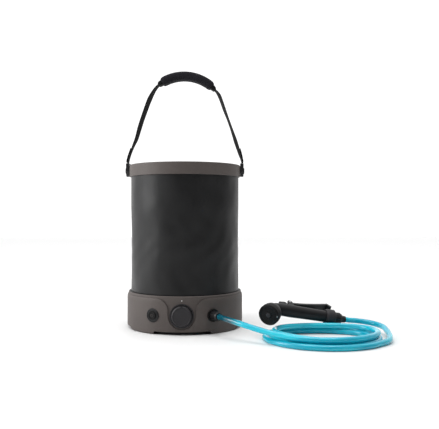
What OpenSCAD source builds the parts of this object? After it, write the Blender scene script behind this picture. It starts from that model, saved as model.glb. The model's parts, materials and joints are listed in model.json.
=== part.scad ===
// Collapsible camp shower: a fabric bucket on a pump base, a carry strap, a hose and a lever sprayer.
// Millimetres. The origin is on the base's axis at floor level, +Z is up and -Y is the front.

/* [Base] */
// Radius of the base at its widest
base_r = 143; // [138:1:150]
// Height of the base shell
base_h = 89; // [86:1:96]
// Wall of the base shell
base_wall = 3; // [2:0.5:4]
// Depth of the keyhole recess and of the band above the cheeks
recess_depth = 3; // [2:0.5:4]
// Height of the band above the cheeks
band_h = 6; // [4:0.5:8]
// Height over which the cheeks round in towards the band
shoulder_h = 11; // [6:1:16]
// Height of the gaps between the feet
foot_gap_h = 7.5; // [6:0.5:10]
// Half width of the gap between two feet
foot_gap_half = 64; // [50:1:72]
// Radial thickness of a foot at the floor
foot_t = 7; // [5:0.5:9]
// Height of the rounding under the base
base_round = 5; // [3:0.5:7]
// Height of the controls above the middle of the space inside the base
control_rise = 0.75; // [0:0.25:1.5]
// Radius of the round part of the keyhole recess
keyhole_r = 31.5; // [30:0.5:34]

/* [Bottom cover] */
// Height of the cover's underside above the floor
cover_z = 3; // [2:0.5:4]
// Number of cover screws
screw_count = 6; // [4:1:8]
// Radius of a cover screw's shank
screw_r = 1.6; // [1.2:0.1:2]

/* [Reservoir] */
// Inset of the fabric wall from the base at its widest
wall_inset = 9; // [8:0.5:13]
// Thickness of the coated fabric
wall_t = 1.2; // [0.8:0.1:2]
// Thickness of the reservoir floor
deck_t = 4; // [3:0.5:5]
// Height of the floor's upstand inside the wall
upstand_h = 14; // [8:1:20]
// Height of the rim's lower edge
rim_z = 370; // [300:1:420]
// Height of the rim
rim_h = 29; // [26:1:36]
// Wall of the rim outside the fabric
rim_wall = 3.6; // [2.5:0.1:5]

/* [Battery] */
// Radius of the battery pack's end cap
cap_r = 23.5; // [22.5:0.1:24]
// How far the cap stands out from the collar
cap_out = 8.5; // [5:0.5:10]
// Radial gap round the cap
cap_gap = 1.5; // [1:0.1:2]
// Wall of the battery socket
socket_wall = 3; // [2:0.5:3.5]
// How far the collar stands out from the recess
collar_out = 1.5; // [1:0.5:3]
// Length of the battery case behind the cap
case_l = 73; // [72:1:80]
// Twist that frees the battery, in degrees
battery_twist = 30; // [20:1:40]

/* [Power button] */
// Angle of the button from the front
button_angle = -28.5; // [-34:0.5:-26]
// Radius of the button
button_r = 10.5; // [9:0.5:11]
// Radius of the button's bezel
bezel_r = 16; // [15:0.5:17]
// Travel of the button
button_travel = 1.8; // [1:0.1:2]

/* [Outlet] */
// Angle of the hose outlet from the front
outlet_angle = 30; // [29:0.5:34]
// Radius of the outlet flange
flange_r = 15; // [13:0.5:16]
// Radius of the hose nut
nut_r = 11; // [10:0.5:12]
// How far the hose nut's end stands out from the base
nut_reach = 27; // [25:1:31]

/* [Pump] */
// Radius of the impeller
impeller_r = 24; // [18:0.5:25]
// Radius of the pump shaft
shaft_r = 2.5; // [2:0.1:3]
// Number of impeller vanes
vane_count = 6; // [4:1:8]
// Radius of the motor
motor_r = 18; // [14:0.5:22]
// Number of slots in the intake strainer
strainer_slots = 16; // [8:1:24]

/* [Carry strap] */
// Radius of the round strap fitting
fitting_r = 15; // [13:0.5:16]
// Thickness of the strap fitting
fitting_t = 8; // [6:0.5:9]
// Radius of the peg that the fitting turns on
peg_r = 5; // [4:0.1:6]
// Width of the webbing
strap_w = 25; // [20:1:26]
// Thickness of the webbing
strap_t = 2.4; // [1.6:0.1:2.6]
// Outer thickness of the padded grip
grip_d = 23; // [20:0.5:26]
// Bend radius of the grip's centreline
grip_bend = 105; // [95:1:120]

/* [Sprayer] */
// Radius of the spray face
face_r = 24.2; // [22:0.1:26]
// Radius of the handle at its hose end
handle_r = 13.3; // [12:0.1:14]
// Radius of the handle at its head end
neck_r = 14.6; // [13:0.1:15.5]
// Tilt of the head away from the handle's axis
head_tilt = 53; // [45:1:60]
// Thickness of the lever
lever_t = 6; // [4:0.5:7]
// Width of the lever
lever_w = 20; // [16:1:22]
// Radius of the lever's pin
pin_r = 2.5; // [2:0.1:3]
// Radius of the valve stem
stem_r = 3; // [2.5:0.1:3.5]

/* [Hose] */
// Outer diameter of the hose
hose_d = 12.7; // [11:0.1:13]

/* [Hidden] */
$fn = 72;

taupe = [0.36, 0.33, 0.32];
charcoal = [0.15, 0.15, 0.16];
black = [0.09, 0.09, 0.1];
steel = [0.7, 0.7, 0.72];
rubber = [0.12, 0.12, 0.12];
amber = [0.72, 0.58, 0.3];
green = [0.1, 0.35, 0.2];
cyan = [0.2, 0.72, 0.83];

// Clearances: a running fit, loose neighbours on different bodies, and seats within one body
run_gap = 0.05;
move_gap = 0.3;
seat_gap = 0.1;
cut = 1;

// Base and reservoir heights
band_r = base_r - recess_depth;
cheek_h = base_h - band_h;
base_in_r = base_r - base_wall;
pad_r = band_r - base_wall;
flange_t = 3;
ledge_t = 3;
gasket_t = 2;
ledge_z = cheek_h - band_h;
deck_z = ledge_z + gasket_t;
deck_top = deck_z + deck_t;
control_z = (foot_gap_h + deck_z) / 2 + control_rise;
wall_r = base_r - wall_inset;
nut_end = base_r + nut_reach;
wall_in_r = wall_r - wall_t;
upstand_r = wall_in_r - move_gap;
upstand_t = 3;
deck_r = wall_r - move_gap;
hem_in_r = wall_r + move_gap;
hem_out_r = pad_r - move_gap;
ledge_in_r = upstand_r - upstand_t - 2;
foot_out_r = base_r - base_round;
foot_in_r = foot_out_r - foot_t;
cover_r = foot_in_r - 0.5;
flange_in_r = foot_in_r - 16;
screw_ring_r = flange_in_r + 6;
cover_top = foot_gap_h;
wall_z = deck_top + seat_gap;
rim_top = rim_z + rim_h;
rim_r = wall_r + move_gap + rim_wall;
rim_cap_t = 3;
clamp_t = 4.4;
clamp_out_r = wall_in_r - move_gap;
clamp_in_r = clamp_out_r - clamp_t;
wall_top = rim_top - rim_cap_t - 12;
pivot_z = rim_z + 16;

// Points of a quarter ellipse about c, from angle a0 to a1
function arc2(c, rx, ry, a0, a1, n) =
    [for (i = [0:n]) let (a = a0 + (a1 - a0) * i / n) [c[0] + rx * cos(a), c[1] + ry * sin(a)]];
function unit(v) = v / norm(v);

// Places its children on the wall at an angle from the front: Z outwards, Y up, X along the wall
module at_wall(angle, z) {
    translate([0, 0, z]) rotate([0, 0, angle]) rotate([90, 0, 0]) children();
}

// A tube from z0 to z1
module tube(r_out, r_in, z0, z1) {
    difference() {
        translate([0, 0, z0]) cylinder(r = r_out, h = z1 - z0);
        translate([0, 0, z0 - cut]) cylinder(r = r_in, h = z1 - z0 + 2 * cut);
    }
}

module rod(r, z0, z1) {
    translate([0, 0, z0]) cylinder(r = r, h = z1 - z0);
}

// A box centred in X and Y, from z0 to z1
module slab(w, d, z0, z1) {
    translate([-w / 2, -d / 2, z0]) cube([w, d, z1 - z0]);
}

// Places its children at each cover screw, with the front of the base between two of them
boss_r = 4.5;
boss_top = 20;
head_r = 2.6 * screw_r;
head_t = 2;
module at_screws() {
    for (i = [0:screw_count - 1]) rotate([0, 0, 270 + 180 / screw_count * (2 * i + 1)])
        translate([screw_ring_r, 0, 0]) children();
}

// Base shell
spot_depth = 0.4;
bezel_seat = sqrt(base_r * base_r - (bezel_r + move_gap) * (bezel_r + move_gap)) - spot_depth;
flange_seat = sqrt(base_r * base_r - (flange_r + move_gap) * (flange_r + move_gap)) - spot_depth;
bezel_tube_r = bezel_r - 2;
fitting_out_r = 8;
board_depth = 31;
board_front = base_r - board_depth;
board_x = -12;
board_w = 52;
board_h = 44;
board_post_r = 3.5;
post_dx = 22;
post_dy = 16;
socket_in_r = cap_r + cap_gap;
socket_out_r = socket_in_r + socket_wall;
flare_w = 29.5;
flare_z = 14;
keyhole_side = keyhole_r + 1;

// The keyhole outline about the battery's axis, X along the wall and Y up
module keyhole(grow) {
    top = cheek_h - control_z;
    side = keyhole_side + grow;
    flare = arc2([side + flare_w, flare_z], flare_w, top - flare_z, 180, 90, 8);
    circle(r = keyhole_r + grow);
    polygon(concat([[-side, 0], [side, 0]], flare,
        [[side + flare_w, top + cut], [-side - flare_w, top + cut]],
        [for (i = [8:-1:0]) [-flare[i][0], flare[i][1]]]));
}

module keyhole_prism(grow, r_out, r_in) {
    intersection() {
        at_wall(0, control_z) translate([0, 0, base_r * 0.75]) linear_extrude(base_r) keyhole(grow);
        tube(r_out, r_in, base_round, cheek_h + 0.5);
    }
}

module base_profile() {
    shoulder = arc2([band_r + 1, cheek_h - shoulder_h], recess_depth - 1, shoulder_h, 0, 90, 6);
    lower = arc2([base_r - base_round, base_round], base_round, base_round, -90, 0, 6);
    polygon(concat([[foot_in_r, 0]], lower, shoulder,
        [[band_r, cheek_h], [band_r, base_h - 1.5], [band_r - 1.5, base_h], [pad_r, base_h],
        [pad_r, ledge_z], [ledge_in_r, ledge_z], [ledge_in_r, ledge_z - ledge_t],
        [base_in_r, ledge_z - ledge_t], [base_in_r, foot_gap_h + flange_t],
        [flange_in_r, foot_gap_h + flange_t], [flange_in_r, foot_gap_h], [foot_in_r, foot_gap_h]]));
}

module foot_gap() {
    slant = 5;
    at_wall(0, 0) translate([0, 0, flange_in_r - 2 * foot_t]) linear_extrude(base_r)
        polygon([[-foot_gap_half - slant, -cut], [foot_gap_half + slant, -cut],
            [foot_gap_half, foot_gap_h], [-foot_gap_half, foot_gap_h]]);
}

module base_shell() {
    color(taupe) difference() {
        union() {
            difference() {
                rotate_extrude() base_profile();
                keyhole_prism(0, base_r + cut, band_r);
            }
            intersection() {
                keyhole_prism(base_wall, base_in_r + 0.5, pad_r);
                rod(base_r, 0, ledge_z - ledge_t);
            }
            at_screws() rod(boss_r, foot_gap_h + flange_t - 0.5, boss_top);
            at_wall(button_angle, control_z) intersection() {
                for (dx = [-1, 1], dy = [-1, 1]) translate([board_x + dx * post_dx, dy * post_dy, 0])
                    rod(board_post_r, board_front, base_r);
                rotate([-90, 0, 0]) rod(base_in_r + 0.5, -control_z, control_z);
            }
        }
        for (i = [0:3]) rotate([0, 0, 90 * i]) foot_gap();
        at_wall(0, control_z) rod(socket_out_r + seat_gap, base_r / 2, base_r + cut);
        at_wall(button_angle, control_z) {
            rod(bezel_tube_r + seat_gap, shoulder_z, base_r + cut);
            rod(bezel_r + move_gap, bezel_seat, base_r + cut);
        }
        at_wall(outlet_angle, control_z) {
            rod(fitting_out_r + seat_gap, base_r / 2, base_r + cut);
            rod(flange_r + move_gap, flange_seat, base_r + cut);
        }
        at_screws() rod(screw_r + run_gap, foot_gap_h - cut, boss_top - 1.5);
    }
}

// Bottom cover: a plate with a stiffening ring, screwed up under the shell's flange
module bottom_cover() {
    color(charcoal) difference() {
        union() {
            rod(cover_r, cover_z, cover_top);
            tube(flange_in_r - 1, flange_in_r - 3, cover_top - 0.5, cover_top + 4);
            at_pump() tube(motor_r + 3, motor_r + move_gap, cover_top - 0.5, cover_top + 6);
        }
        tube(cover_r - 22, cover_r - 24, cover_z - cut, cover_z + 1);
        at_screws() {
            rod(screw_r + run_gap, cover_z - cut, cover_top + cut);
            rod(head_r + seat_gap, cover_z - cut, cover_z + head_t);
        }
    }
}

module cover_screws() {
    color(steel) at_screws() difference() {
        union() {
            rod(head_r, cover_z + 0.2, cover_z + head_t);
            rod(screw_r, cover_z + 1, boss_top - 2);
        }
        slab(0.8, 2 * head_r + cut, cover_z - cut, cover_z + 1);
    }
}

// Reservoir floor with its upstand, and the pieces that hold the fabric's lower hem
module reservoir_floor() {
    color(charcoal) difference() {
        union() {
            rod(deck_r, deck_z, deck_top);
            tube(upstand_r, upstand_r - upstand_t, deck_top - 0.5, deck_top + upstand_h);
            at_pump() rod(inlet_r + 5, deck_z - 3, deck_z + 0.5);
        }
        at_pump() rod(inlet_r + seat_gap, deck_z - 3 - cut, deck_top + cut);
    }
}

module deck_gasket() {
    color(rubber) tube(deck_r - seat_gap, ledge_in_r + seat_gap, ledge_z, deck_z);
}

module hem_ring() {
    color(charcoal) tube(hem_out_r, hem_in_r, ledge_z, base_h - 0.5);
}

module reservoir_wall() {
    color(charcoal) tube(wall_r, wall_in_r, wall_z, wall_top);
}

// Rim: an outer ring with a flat top lip, an inner clamping ring and two pivot pegs
module rim_ring() {
    round_r = 2;
    lower = 1;
    color(taupe) difference() {
        rotate_extrude() polygon(concat(
            [[wall_r + move_gap, rim_z], [rim_r - lower, rim_z], [rim_r, rim_z + lower]],
            arc2([rim_r - round_r, rim_top - round_r], round_r, round_r, 0, 90, 5),
            arc2([clamp_in_r + round_r, rim_top - round_r], round_r, round_r, 90, 180, 5),
            [[clamp_in_r, rim_top - rim_cap_t], [wall_r + move_gap, rim_top - rim_cap_t]]));
        for (side = [-1, 1]) translate([0, 0, pivot_z]) rotate([0, 90 * side, 0])
            rod(peg_r + run_gap, wall_r - 5, rim_r + cut);
    }
}

module rim_clamp() {
    color(charcoal) tube(clamp_out_r, clamp_in_r, rim_z + 2, rim_top - rim_cap_t);
}

fitting_in = rim_r + 0.5;
fitting_out = fitting_in + fitting_t;

module rim_pegs() {
    color(black) for (side = [-1, 1]) translate([0, 0, pivot_z]) rotate([0, 90 * side, 0]) {
        rod(peg_r, wall_r + move_gap + seat_gap, fitting_out + 1);
        translate([0, 0, fitting_out + move_gap]) cylinder(r1 = peg_r + 3, r2 = peg_r + 2, h = 2);
    }
}

// Battery places: two lugs on the pack twist behind the ring inside its socket
collar_front = band_r + collar_out;
cap_back = collar_front - 4;
cap_front = collar_front + cap_out;
case_r = cap_r - 0.6;
case_back = cap_back - case_l;
case_wall = 2;
socket_back = case_back - 4;
ring_low = collar_front - 15.5;
ring_high = ring_low + 5;
lug_low = ring_low - move_gap - 5;
lug_half_w = 5;
socket_end = socket_back - socket_wall;
nose_wall = 2.3;
nose_bevel = 2;
nose_r = case_r + move_gap + nose_wall;
nose_front = socket_end + 8.5;
lug_r = socket_in_r - 2 * move_gap;
ear_r = socket_out_r + 5;
ear_h = 52;
ear_front = sqrt(pad_r * pad_r - ear_r * ear_r) - 0.2;

// Pump: it hangs under the reservoir floor, with its port on the outlet's axis and its motor below
port_out_r = 7;
port_r = 4.5;
port_depth = 43;
port_end = base_r - port_depth;
port_offset = 20;
pump_clear = 22.5;
pump_reach = socket_back - pump_clear;
pump_x = pump_reach * sin(outlet_angle) + port_offset * cos(outlet_angle);
pump_y = port_offset * sin(outlet_angle) - pump_reach * cos(outlet_angle);
inlet_r = 12;
inlet_wall = 3;
pump_wall = 3;
cavity_r = impeller_r + 3;
pump_r = cavity_r + pump_wall;
cavity_h = 16;
cavity_z = control_z - cavity_h / 2;
pump_z = cavity_z - pump_wall;
seal_r = 7;
shaft_low = 16;
hub_h = 10;

module at_pump() {
    translate([pump_x, pump_y, 0]) children();
}

module intake_strainer() {
    strainer_r = 22;
    strainer_h = 14;
    strainer_wall = 2;
    inner_r = strainer_r - strainer_wall;
    color(charcoal) at_pump() difference() {
        translate([0, 0, deck_top]) rotate_extrude() polygon(concat(
            [[inner_r, 0], [strainer_r, 0], [strainer_r, 2]],
            arc2([strainer_r - 6, strainer_h - 6], 6, 6, 0, 90, 5), [[0, strainer_h]],
            [[0, strainer_h - strainer_wall]],
            [[strainer_r - 6, strainer_h - strainer_wall], [inner_r, strainer_h - 6]]));
        for (i = [0:strainer_slots - 1]) rotate([0, 0, 360 / strainer_slots * i])
            translate([strainer_r / 2, -1, deck_top + 2]) cube([strainer_r, 2, strainer_h - 6]);
    }
}

module pump_cover() {
    color(charcoal) at_pump() difference() {
        union() {
            rod(pump_r, cavity_z + cavity_h, cavity_z + cavity_h + pump_wall);
            rod(inlet_r, cavity_z + cavity_h, deck_top);
        }
        rod(inlet_r - inlet_wall, cavity_z + cavity_h - cut, deck_top + cut);
    }
}

module pump_housing() {
    color(charcoal) difference() {
        union() {
            at_pump() rod(pump_r, pump_z, cavity_z + cavity_h);
            at_wall(outlet_angle, control_z) rod(port_out_r, pump_reach, port_end);
        }
        at_pump() rod(cavity_r, cavity_z, cavity_z + cavity_h + cut);
        at_pump() rod(seal_r + run_gap, pump_z - cut, cavity_z + cut);
        at_wall(outlet_angle, control_z) rod(port_r, pump_reach, port_end + cut);
    }
}

module shaft_seal() {
    color(rubber) at_pump() tube(seal_r, shaft_r + run_gap, pump_z, cavity_z);
}

// Impeller with backward-curved vanes on a back plate
module impeller() {
    vane_t = 1.6;
    hub_r = seal_r;
    sweep_angle = 60;
    steps = 6;
    low = cavity_z + 1;
    function vane_side(shift) = [for (i = [0:steps])
        let (r = hub_r - 1 + (impeller_r - hub_r + 1) * i / steps, a = -sweep_angle * i / steps)
        [r * cos(a) - shift * sin(a), r * sin(a) + shift * cos(a)]];
    right = vane_side(-vane_t / 2);
    left = vane_side(vane_t / 2);
    color(amber) at_pump() difference() {
        union() {
            rod(impeller_r, low, low + 2);
            rod(hub_r, low, low + hub_h);
            for (i = [0:vane_count - 1]) rotate([0, 0, 360 / vane_count * i]) translate([0, 0, low + 1])
                linear_extrude(hub_h - 1)
                    polygon(concat(right, [for (k = [steps:-1:0]) left[k]]));
        }
        rod(shaft_r + run_gap, low - cut, low + hub_h + cut);
    }
}

module pump_shaft() {
    color(steel) at_pump() rod(shaft_r, shaft_low, cavity_z + 1 + hub_h);
}

module motor() {
    color(steel) at_pump() difference() {
        union() {
            rod(motor_r, cover_top, pump_z - 2);
            rod(motor_r - 6, cover_top, pump_z);
        }
        rod(shaft_r + run_gap, shaft_low - move_gap, pump_z + cut);
        tube(motor_r + cut, motor_r - 0.6, pump_z - 8, pump_z - 6);
    }
}

// Outlet: a fitting through the shell, a seal, a flange and the nut that grips the hose
flange_out = base_r + 4;
seal_t = 1.5;
inner_flange_r = fitting_out_r + 3;
inner_flange_t = 9;
inner_seat = sqrt(base_in_r * base_in_r - inner_flange_r * inner_flange_r) - move_gap;
hose_hole_r = 4.5;

module outlet_fitting() {
    color(black) at_wall(outlet_angle, control_z) difference() {
        union() {
            rod(fitting_out_r, port_end, flange_out + 5);
            rod(inner_flange_r, inner_seat - inner_flange_t, inner_seat);
            rod(hose_hole_r + 2, flange_out + 4, nut_end - 6);
        }
        rod(hose_hole_r - 1, port_end - cut, nut_end);
    }
}

module outlet_seal() {
    color(rubber) at_wall(outlet_angle, control_z)
        tube(flange_r - 1, fitting_out_r + run_gap, flange_seat, flange_seat + seal_t);
}

module outlet_flange() {
    color(black) at_wall(outlet_angle, control_z) difference() {
        union() {
            rod(flange_r, flange_seat + seal_t, flange_out - 1);
            translate([0, 0, flange_out - 1]) cylinder(r1 = flange_r, r2 = flange_r - 1, h = 1);
        }
        rod(fitting_out_r + run_gap, flange_seat, flange_out + cut);
    }
}

module outlet_nut() {
    rib_count = 12;
    nose = 5;
    color(black) at_wall(outlet_angle, control_z) difference() {
        union() {
            rod(nut_r, flange_out, nut_end - nose);
            translate([0, 0, nut_end - nose]) cylinder(r1 = nut_r - 0.6, r2 = nut_r - 2.5, h = nose);
        }
        rod(fitting_out_r + run_gap, flange_out - cut, flange_out + 5 + seat_gap);
        rod(hose_hole_r + 2 + run_gap, flange_out, nut_end - 6 + seat_gap);
        rod(hose_hole_r, flange_out, nut_end + cut);
        for (i = [0:rib_count - 1]) rotate([0, 0, 360 / rib_count * i])
            translate([nut_r + 0.6, 0, 0]) rod(1.4, flange_out + 3, nut_end - nose - 3);
    }
}

// Battery: its socket, contacts, case, cells and cap
module battery_socket() {
    color(charcoal) at_wall(0, control_z) difference() {
        union() {
            rotate_extrude() polygon([[0, socket_end], [nose_r - nose_bevel, socket_end],
                [nose_r, socket_end + nose_bevel], [nose_r, nose_front],
                [socket_out_r, nose_front + socket_out_r - nose_r], [socket_out_r, collar_front],
                [0, collar_front]]);
            intersection() {
                rod(ear_r, ear_front - 3, ear_front);
                slab(2 * ear_r, ear_h, ear_front - 4, ear_front + 1);
            }
        }
        rod(nose_r - nose_wall, socket_back, ring_low);
        rod(socket_in_r, nose_front + socket_out_r - nose_r, ring_low);
        rod(case_r + move_gap, ring_low - cut, ring_high + cut);
        rod(socket_in_r, ring_high, collar_front + cut);
        rotate([0, 0, battery_twist]) intersection() {
            rod(lug_r + move_gap, ring_low - cut, ring_high + cut);
            slab(2 * socket_in_r, 2 * (lug_half_w + 2 * move_gap), ring_low - cut, ring_high + cut);
        }
    }
}

module contact_block() {
    color(amber) at_wall(0, control_z) {
        rod(12, socket_back, socket_back + 1.5);
        for (i = [-1:1]) translate([7 * i, 0, 0]) rod(1.5, socket_back, case_back - move_gap);
    }
}

module battery_case() {
    color(black) at_wall(0, control_z) difference() {
        union() {
            rod(case_r, case_back, cap_back);
            intersection() {
                rod(lug_r, lug_low, lug_low + 5);
                slab(2 * lug_r, 2 * lug_half_w, lug_low, lug_low + 5);
            }
        }
        rod(case_r - case_wall, case_back + case_wall, cap_back + cut);
    }
}

module battery_cells() {
    cell_r = 9.1;
    cell_ring = 10.6;
    terminal_h = 1.5;
    end_gap = 4.5;
    cell_l = case_l - case_wall - terminal_h - end_gap;
    color(green) at_wall(0, control_z) for (i = [0:2]) rotate([0, 0, 120 * i + 30])
        translate([cell_ring, 0, 0]) {
            rod(cell_r, case_back + case_wall, case_back + case_wall + cell_l);
            rod(3, case_back + case_wall + cell_l - 0.5, case_back + case_wall + cell_l + terminal_h);
        }
}

module battery_cap() {
    bevel = 2.5;
    dish = 0.8;
    notch_w = 5;
    color(charcoal) at_wall(0, control_z) difference() {
        rotate_extrude() polygon([[0, cap_back], [cap_r, cap_back], [cap_r, cap_front - bevel],
            [cap_r - bevel, cap_front], [cap_r - bevel - 1, cap_front],
            [cap_r - bevel - 1.6, cap_front - dish], [0, cap_front - dish]]);
        translate([0, cap_r, 0]) slab(notch_w, 5, cap_front - 4, cap_front + cut);
    }
}

// Power button in its bezel, with the switch and the board behind it
button_flange = 2;
shoulder_z = base_r - 10;
stem_end = shoulder_z - 9;
plunger_end = stem_end - button_travel - move_gap;

module button_bezel() {
    rise = 2;
    groove = 0.8;
    bore = button_r + move_gap;
    top = base_r + rise;
    color(charcoal) at_wall(button_angle, control_z) difference() {
        union() {
            rod(bezel_tube_r, shoulder_z - 6, bezel_seat + 0.5);
            rotate_extrude() polygon([[0, bezel_seat], [bezel_r, bezel_seat], [bezel_r, top - 1.2],
                [bezel_r - 1.2, top], [bezel_r - 2.2, top], [bezel_r - 2.6, top - groove],
                [bezel_r - 3.2, top - groove], [bezel_r - 3.6, top], [0, top]]);
        }
        rod(bore, bezel_seat - 20, top + cut);
        rod(bore + button_flange, shoulder_z - 6 - cut, shoulder_z);
    }
}

module power_button() {
    proud = 4;
    top = base_r + proud;
    edge = 1;
    color(black) at_wall(button_angle, control_z) {
        rotate_extrude() polygon([[0, stem_end], [3, stem_end], [3, shoulder_z - 3.5],
            [button_r + button_flange, shoulder_z - 3.5], [button_r + button_flange, shoulder_z - move_gap],
            [button_r, shoulder_z - move_gap], [button_r, top - edge], [button_r - edge, top],
            [button_r - 3, top], [button_r - 3.5, top - 0.6], [0, top - 0.6]]);
    }
}

module power_switch() {
    color(black) at_wall(button_angle, control_z) {
        slab(12, 12, board_front, plunger_end - 3);
        rod(2, board_front + 1, plunger_end);
    }
}

module circuit_board() {
    board_t = 1.6;
    color(green) at_wall(button_angle, control_z) translate([board_x, 0, 0]) {
        slab(board_w, board_h, board_front - board_t, board_front);
        translate([-8, 8, 0]) slab(16, 12, board_front - board_t - 8, board_front - board_t + 0.2);
        translate([10, -10, 0]) slab(14, 8, board_front - board_t - 5, board_front - board_t + 0.2);
    }
}

// Sweeps. A ring is a list of points, and each ring has as many points as the next.
function sweep_faces(rings, sides) = concat(
    [for (k = [1:sides - 2]) [0, k, k + 1]],
    [for (i = [0:rings - 2], k = [0:sides - 1]) let (a = i * sides + k, b = i * sides + (k + 1) % sides)
        each [[a, a + sides, b], [b, a + sides, b + sides]]],
    [for (k = [1:sides - 2]) let (a = (rings - 1) * sides) [a, a + k + 1, a + k]]);
function heading(p, i) = unit(p[min(i + 1, len(p) - 1)] - p[max(i - 1, 0)]);
function flat_side(t) = unit(cross([0, 0, 1], t));
function round_ring(c, t, r, sides) = let (s = flat_side(t), u = cross(t, s))
    [for (k = [0:sides - 1]) let (a = 360 * (k + 0.5) / sides) c + r * (cos(a) * s + sin(a) * u)];
// A smooth curve through hand-chosen points, with n steps between two of them
function spline_point(p, i, t) = let (a = i > 0 ? p[i - 1] : 2 * p[0] - p[1], b = p[i], c = p[i + 1],
    d = i + 2 < len(p) ? p[i + 2] : 2 * p[i + 1] - p[i])
    (2 * b + (c - a) * t + (2 * a - 5 * b + 4 * c - d) * t * t + (3 * b - a - 3 * c + d) * t * t * t) / 2;
function spline(p, n) = concat([for (i = [0:len(p) - 2], k = [0:n - 1]) spline_point(p, i, k / n)],
    [p[len(p) - 1]]);

// first and last give the end directions, so that an end lies square to what it meets
module round_sweep(p, r, sides, first, last) {
    rings = [for (i = [0:len(p) - 1])
        round_ring(p[i], i == 0 ? first : i == len(p) - 1 ? last : heading(p, i), r, sides)];
    polyhedron(points = [for (ring = rings) each ring], faces = sweep_faces(len(p), sides));
}

// Carry strap: two fittings on the rim's pegs, one length of webbing and a padded grip
fitting_mid = (fitting_in + fitting_out) / 2;
fitting_rise = 18;
fitting_top = pivot_z + fitting_rise;
slot_gap = 0.4;
slot_depth = 6;
slot_low = fitting_top - slot_depth;
slot_wall = 1.5;
grip_x = -2.3;
grip_rise = 237;
grip_z = pivot_z + grip_rise - grip_bend;
grip_left = -32;
grip_right = 42;
core_reach = 5.5;
core_side = 3;
core_pad = 5;
wrap_side = 4.5;
core_w = strap_w + 2 * core_side;
core_t = strap_t + 2 * core_pad;
wrap_w = core_w + 2 * wrap_side;
strap_steps = 14;
// Points of the webbing beside the grip: percent of the way from its slot in to the grip's end, percent of
// the way up, and the twist there in degrees
left_leg = [[0, 0, 0], [0, 5, 0], [4, 11.5, 0], [11, 19, 0], [17.5, 25.5, -4], [27, 34, -10], [36, 46, -14],
    [45.5, 57.5, -14], [57.5, 70.5, -15], [69, 82, -16], [84.5, 93, -7]];
right_leg = [[0, 0, 0], [0, 5, 0], [3, 10, -4], [9.5, 17.5, -11], [22.5, 32, -15], [38.5, 49, -8],
    [51, 61.5, -7], [64.5, 74.5, -12], [82, 91.5, -13]];
strap_low = slot_low + slot_gap;

function grip_point(a) = [grip_x + grip_bend * sin(a), 0, grip_z + grip_bend * cos(a)];
arc_left = grip_left - core_reach + 1;
arc_right = grip_right + core_reach - 1;
function leg_point(p, side) = let (start = [side * fitting_mid, 0, strap_low],
    way = grip_point(side < 0 ? arc_left : arc_right) - start)
    start + [way[0] * p[0], 0, way[2] * p[1]] / 100;
strap_path = concat([for (p = left_leg) leg_point(p, -1)],
    [for (i = [0:strap_steps]) grip_point(arc_left + (arc_right - arc_left) * i / strap_steps)],
    [for (i = [len(right_leg) - 1:-1:0]) leg_point(right_leg[i], 1)]);
function strap_twist(i) = i < len(left_leg) ? left_leg[i][2]
    : i < len(left_leg) + strap_steps + 1 ? 0 : right_leg[len(strap_path) - 1 - i][2];
function strap_heading(i) = i == 0 ? [0, 0, 1] : i == len(strap_path) - 1 ? [0, 0, -1]
    : heading(strap_path, i);
function strap_ring(i) = let (t = strap_heading(i), n = cross(t, [0, 1, 0]), a = strap_twist(i),
    w = cos(a) * [0, 1, 0] + sin(a) * n, h = cross(t, w), c = strap_path[i])
    [for (q = [[-1, -1], [1, -1], [1, 1], [-1, 1]]) c + q[0] * w * strap_w / 2 + q[1] * h * strap_t / 2];

module strap() {
    color(black) polyhedron(points = [for (i = [0:len(strap_path) - 1]) each strap_ring(i)],
        faces = sweep_faces(len(strap_path), 4));
}

module strap_fittings() {
    color(black) for (side = [-1, 1]) difference() {
        union() {
            translate([0, 0, pivot_z]) rotate([0, 90 * side, 0]) rod(fitting_r, fitting_in, fitting_out);
            translate([side * fitting_mid, 0, 0])
                slab(fitting_t, strap_w + 2 * (slot_gap + slot_wall), pivot_z, fitting_top);
        }
        translate([0, 0, pivot_z]) rotate([0, 90 * side, 0])
            rod(peg_r + run_gap, fitting_in - cut, fitting_out + cut);
        translate([side * fitting_mid, 0, 0])
            slab(strap_t + 2 * slot_gap, strap_w + 2 * slot_gap, slot_low, fitting_top + cut);
    }
}

// A rounded rectangle about the origin
function round_rect(w, h, r, n) = concat(
    arc2([w / 2 - r, h / 2 - r], r, r, 0, 90, n), arc2([r - w / 2, h / 2 - r], r, r, 90, 180, n),
    arc2([r - w / 2, r - h / 2], r, r, 180, 270, n), arc2([w / 2 - r, r - h / 2], r, r, 270, 360, n));

// An arch about the grip's centre, from angle a0 to a1 off the vertical
module arch(a0, a1) {
    translate([grip_x, 0, grip_z]) rotate([90, 0, 0]) rotate([0, 0, 90 - a1])
        rotate_extrude(angle = a1 - a0) translate([grip_bend, 0]) children();
}

module grip_core() {
    hole = 0.6;
    color(black) arch(grip_left - core_reach, grip_right + core_reach) difference() {
        polygon(round_rect(core_t, core_w, core_t / 3, 4));
        square([strap_t + 2 * hole, strap_w + 2 * hole], center = true);
    }
}

module grip_wrap() {
    color(black) arch(grip_left, grip_right) difference() {
        polygon(round_rect(grip_d, wrap_w, grip_d / 2.3, 6));
        polygon(round_rect(core_t + 2 * move_gap, core_w + 2 * move_gap, core_t / 3, 4));
    }
}

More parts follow.
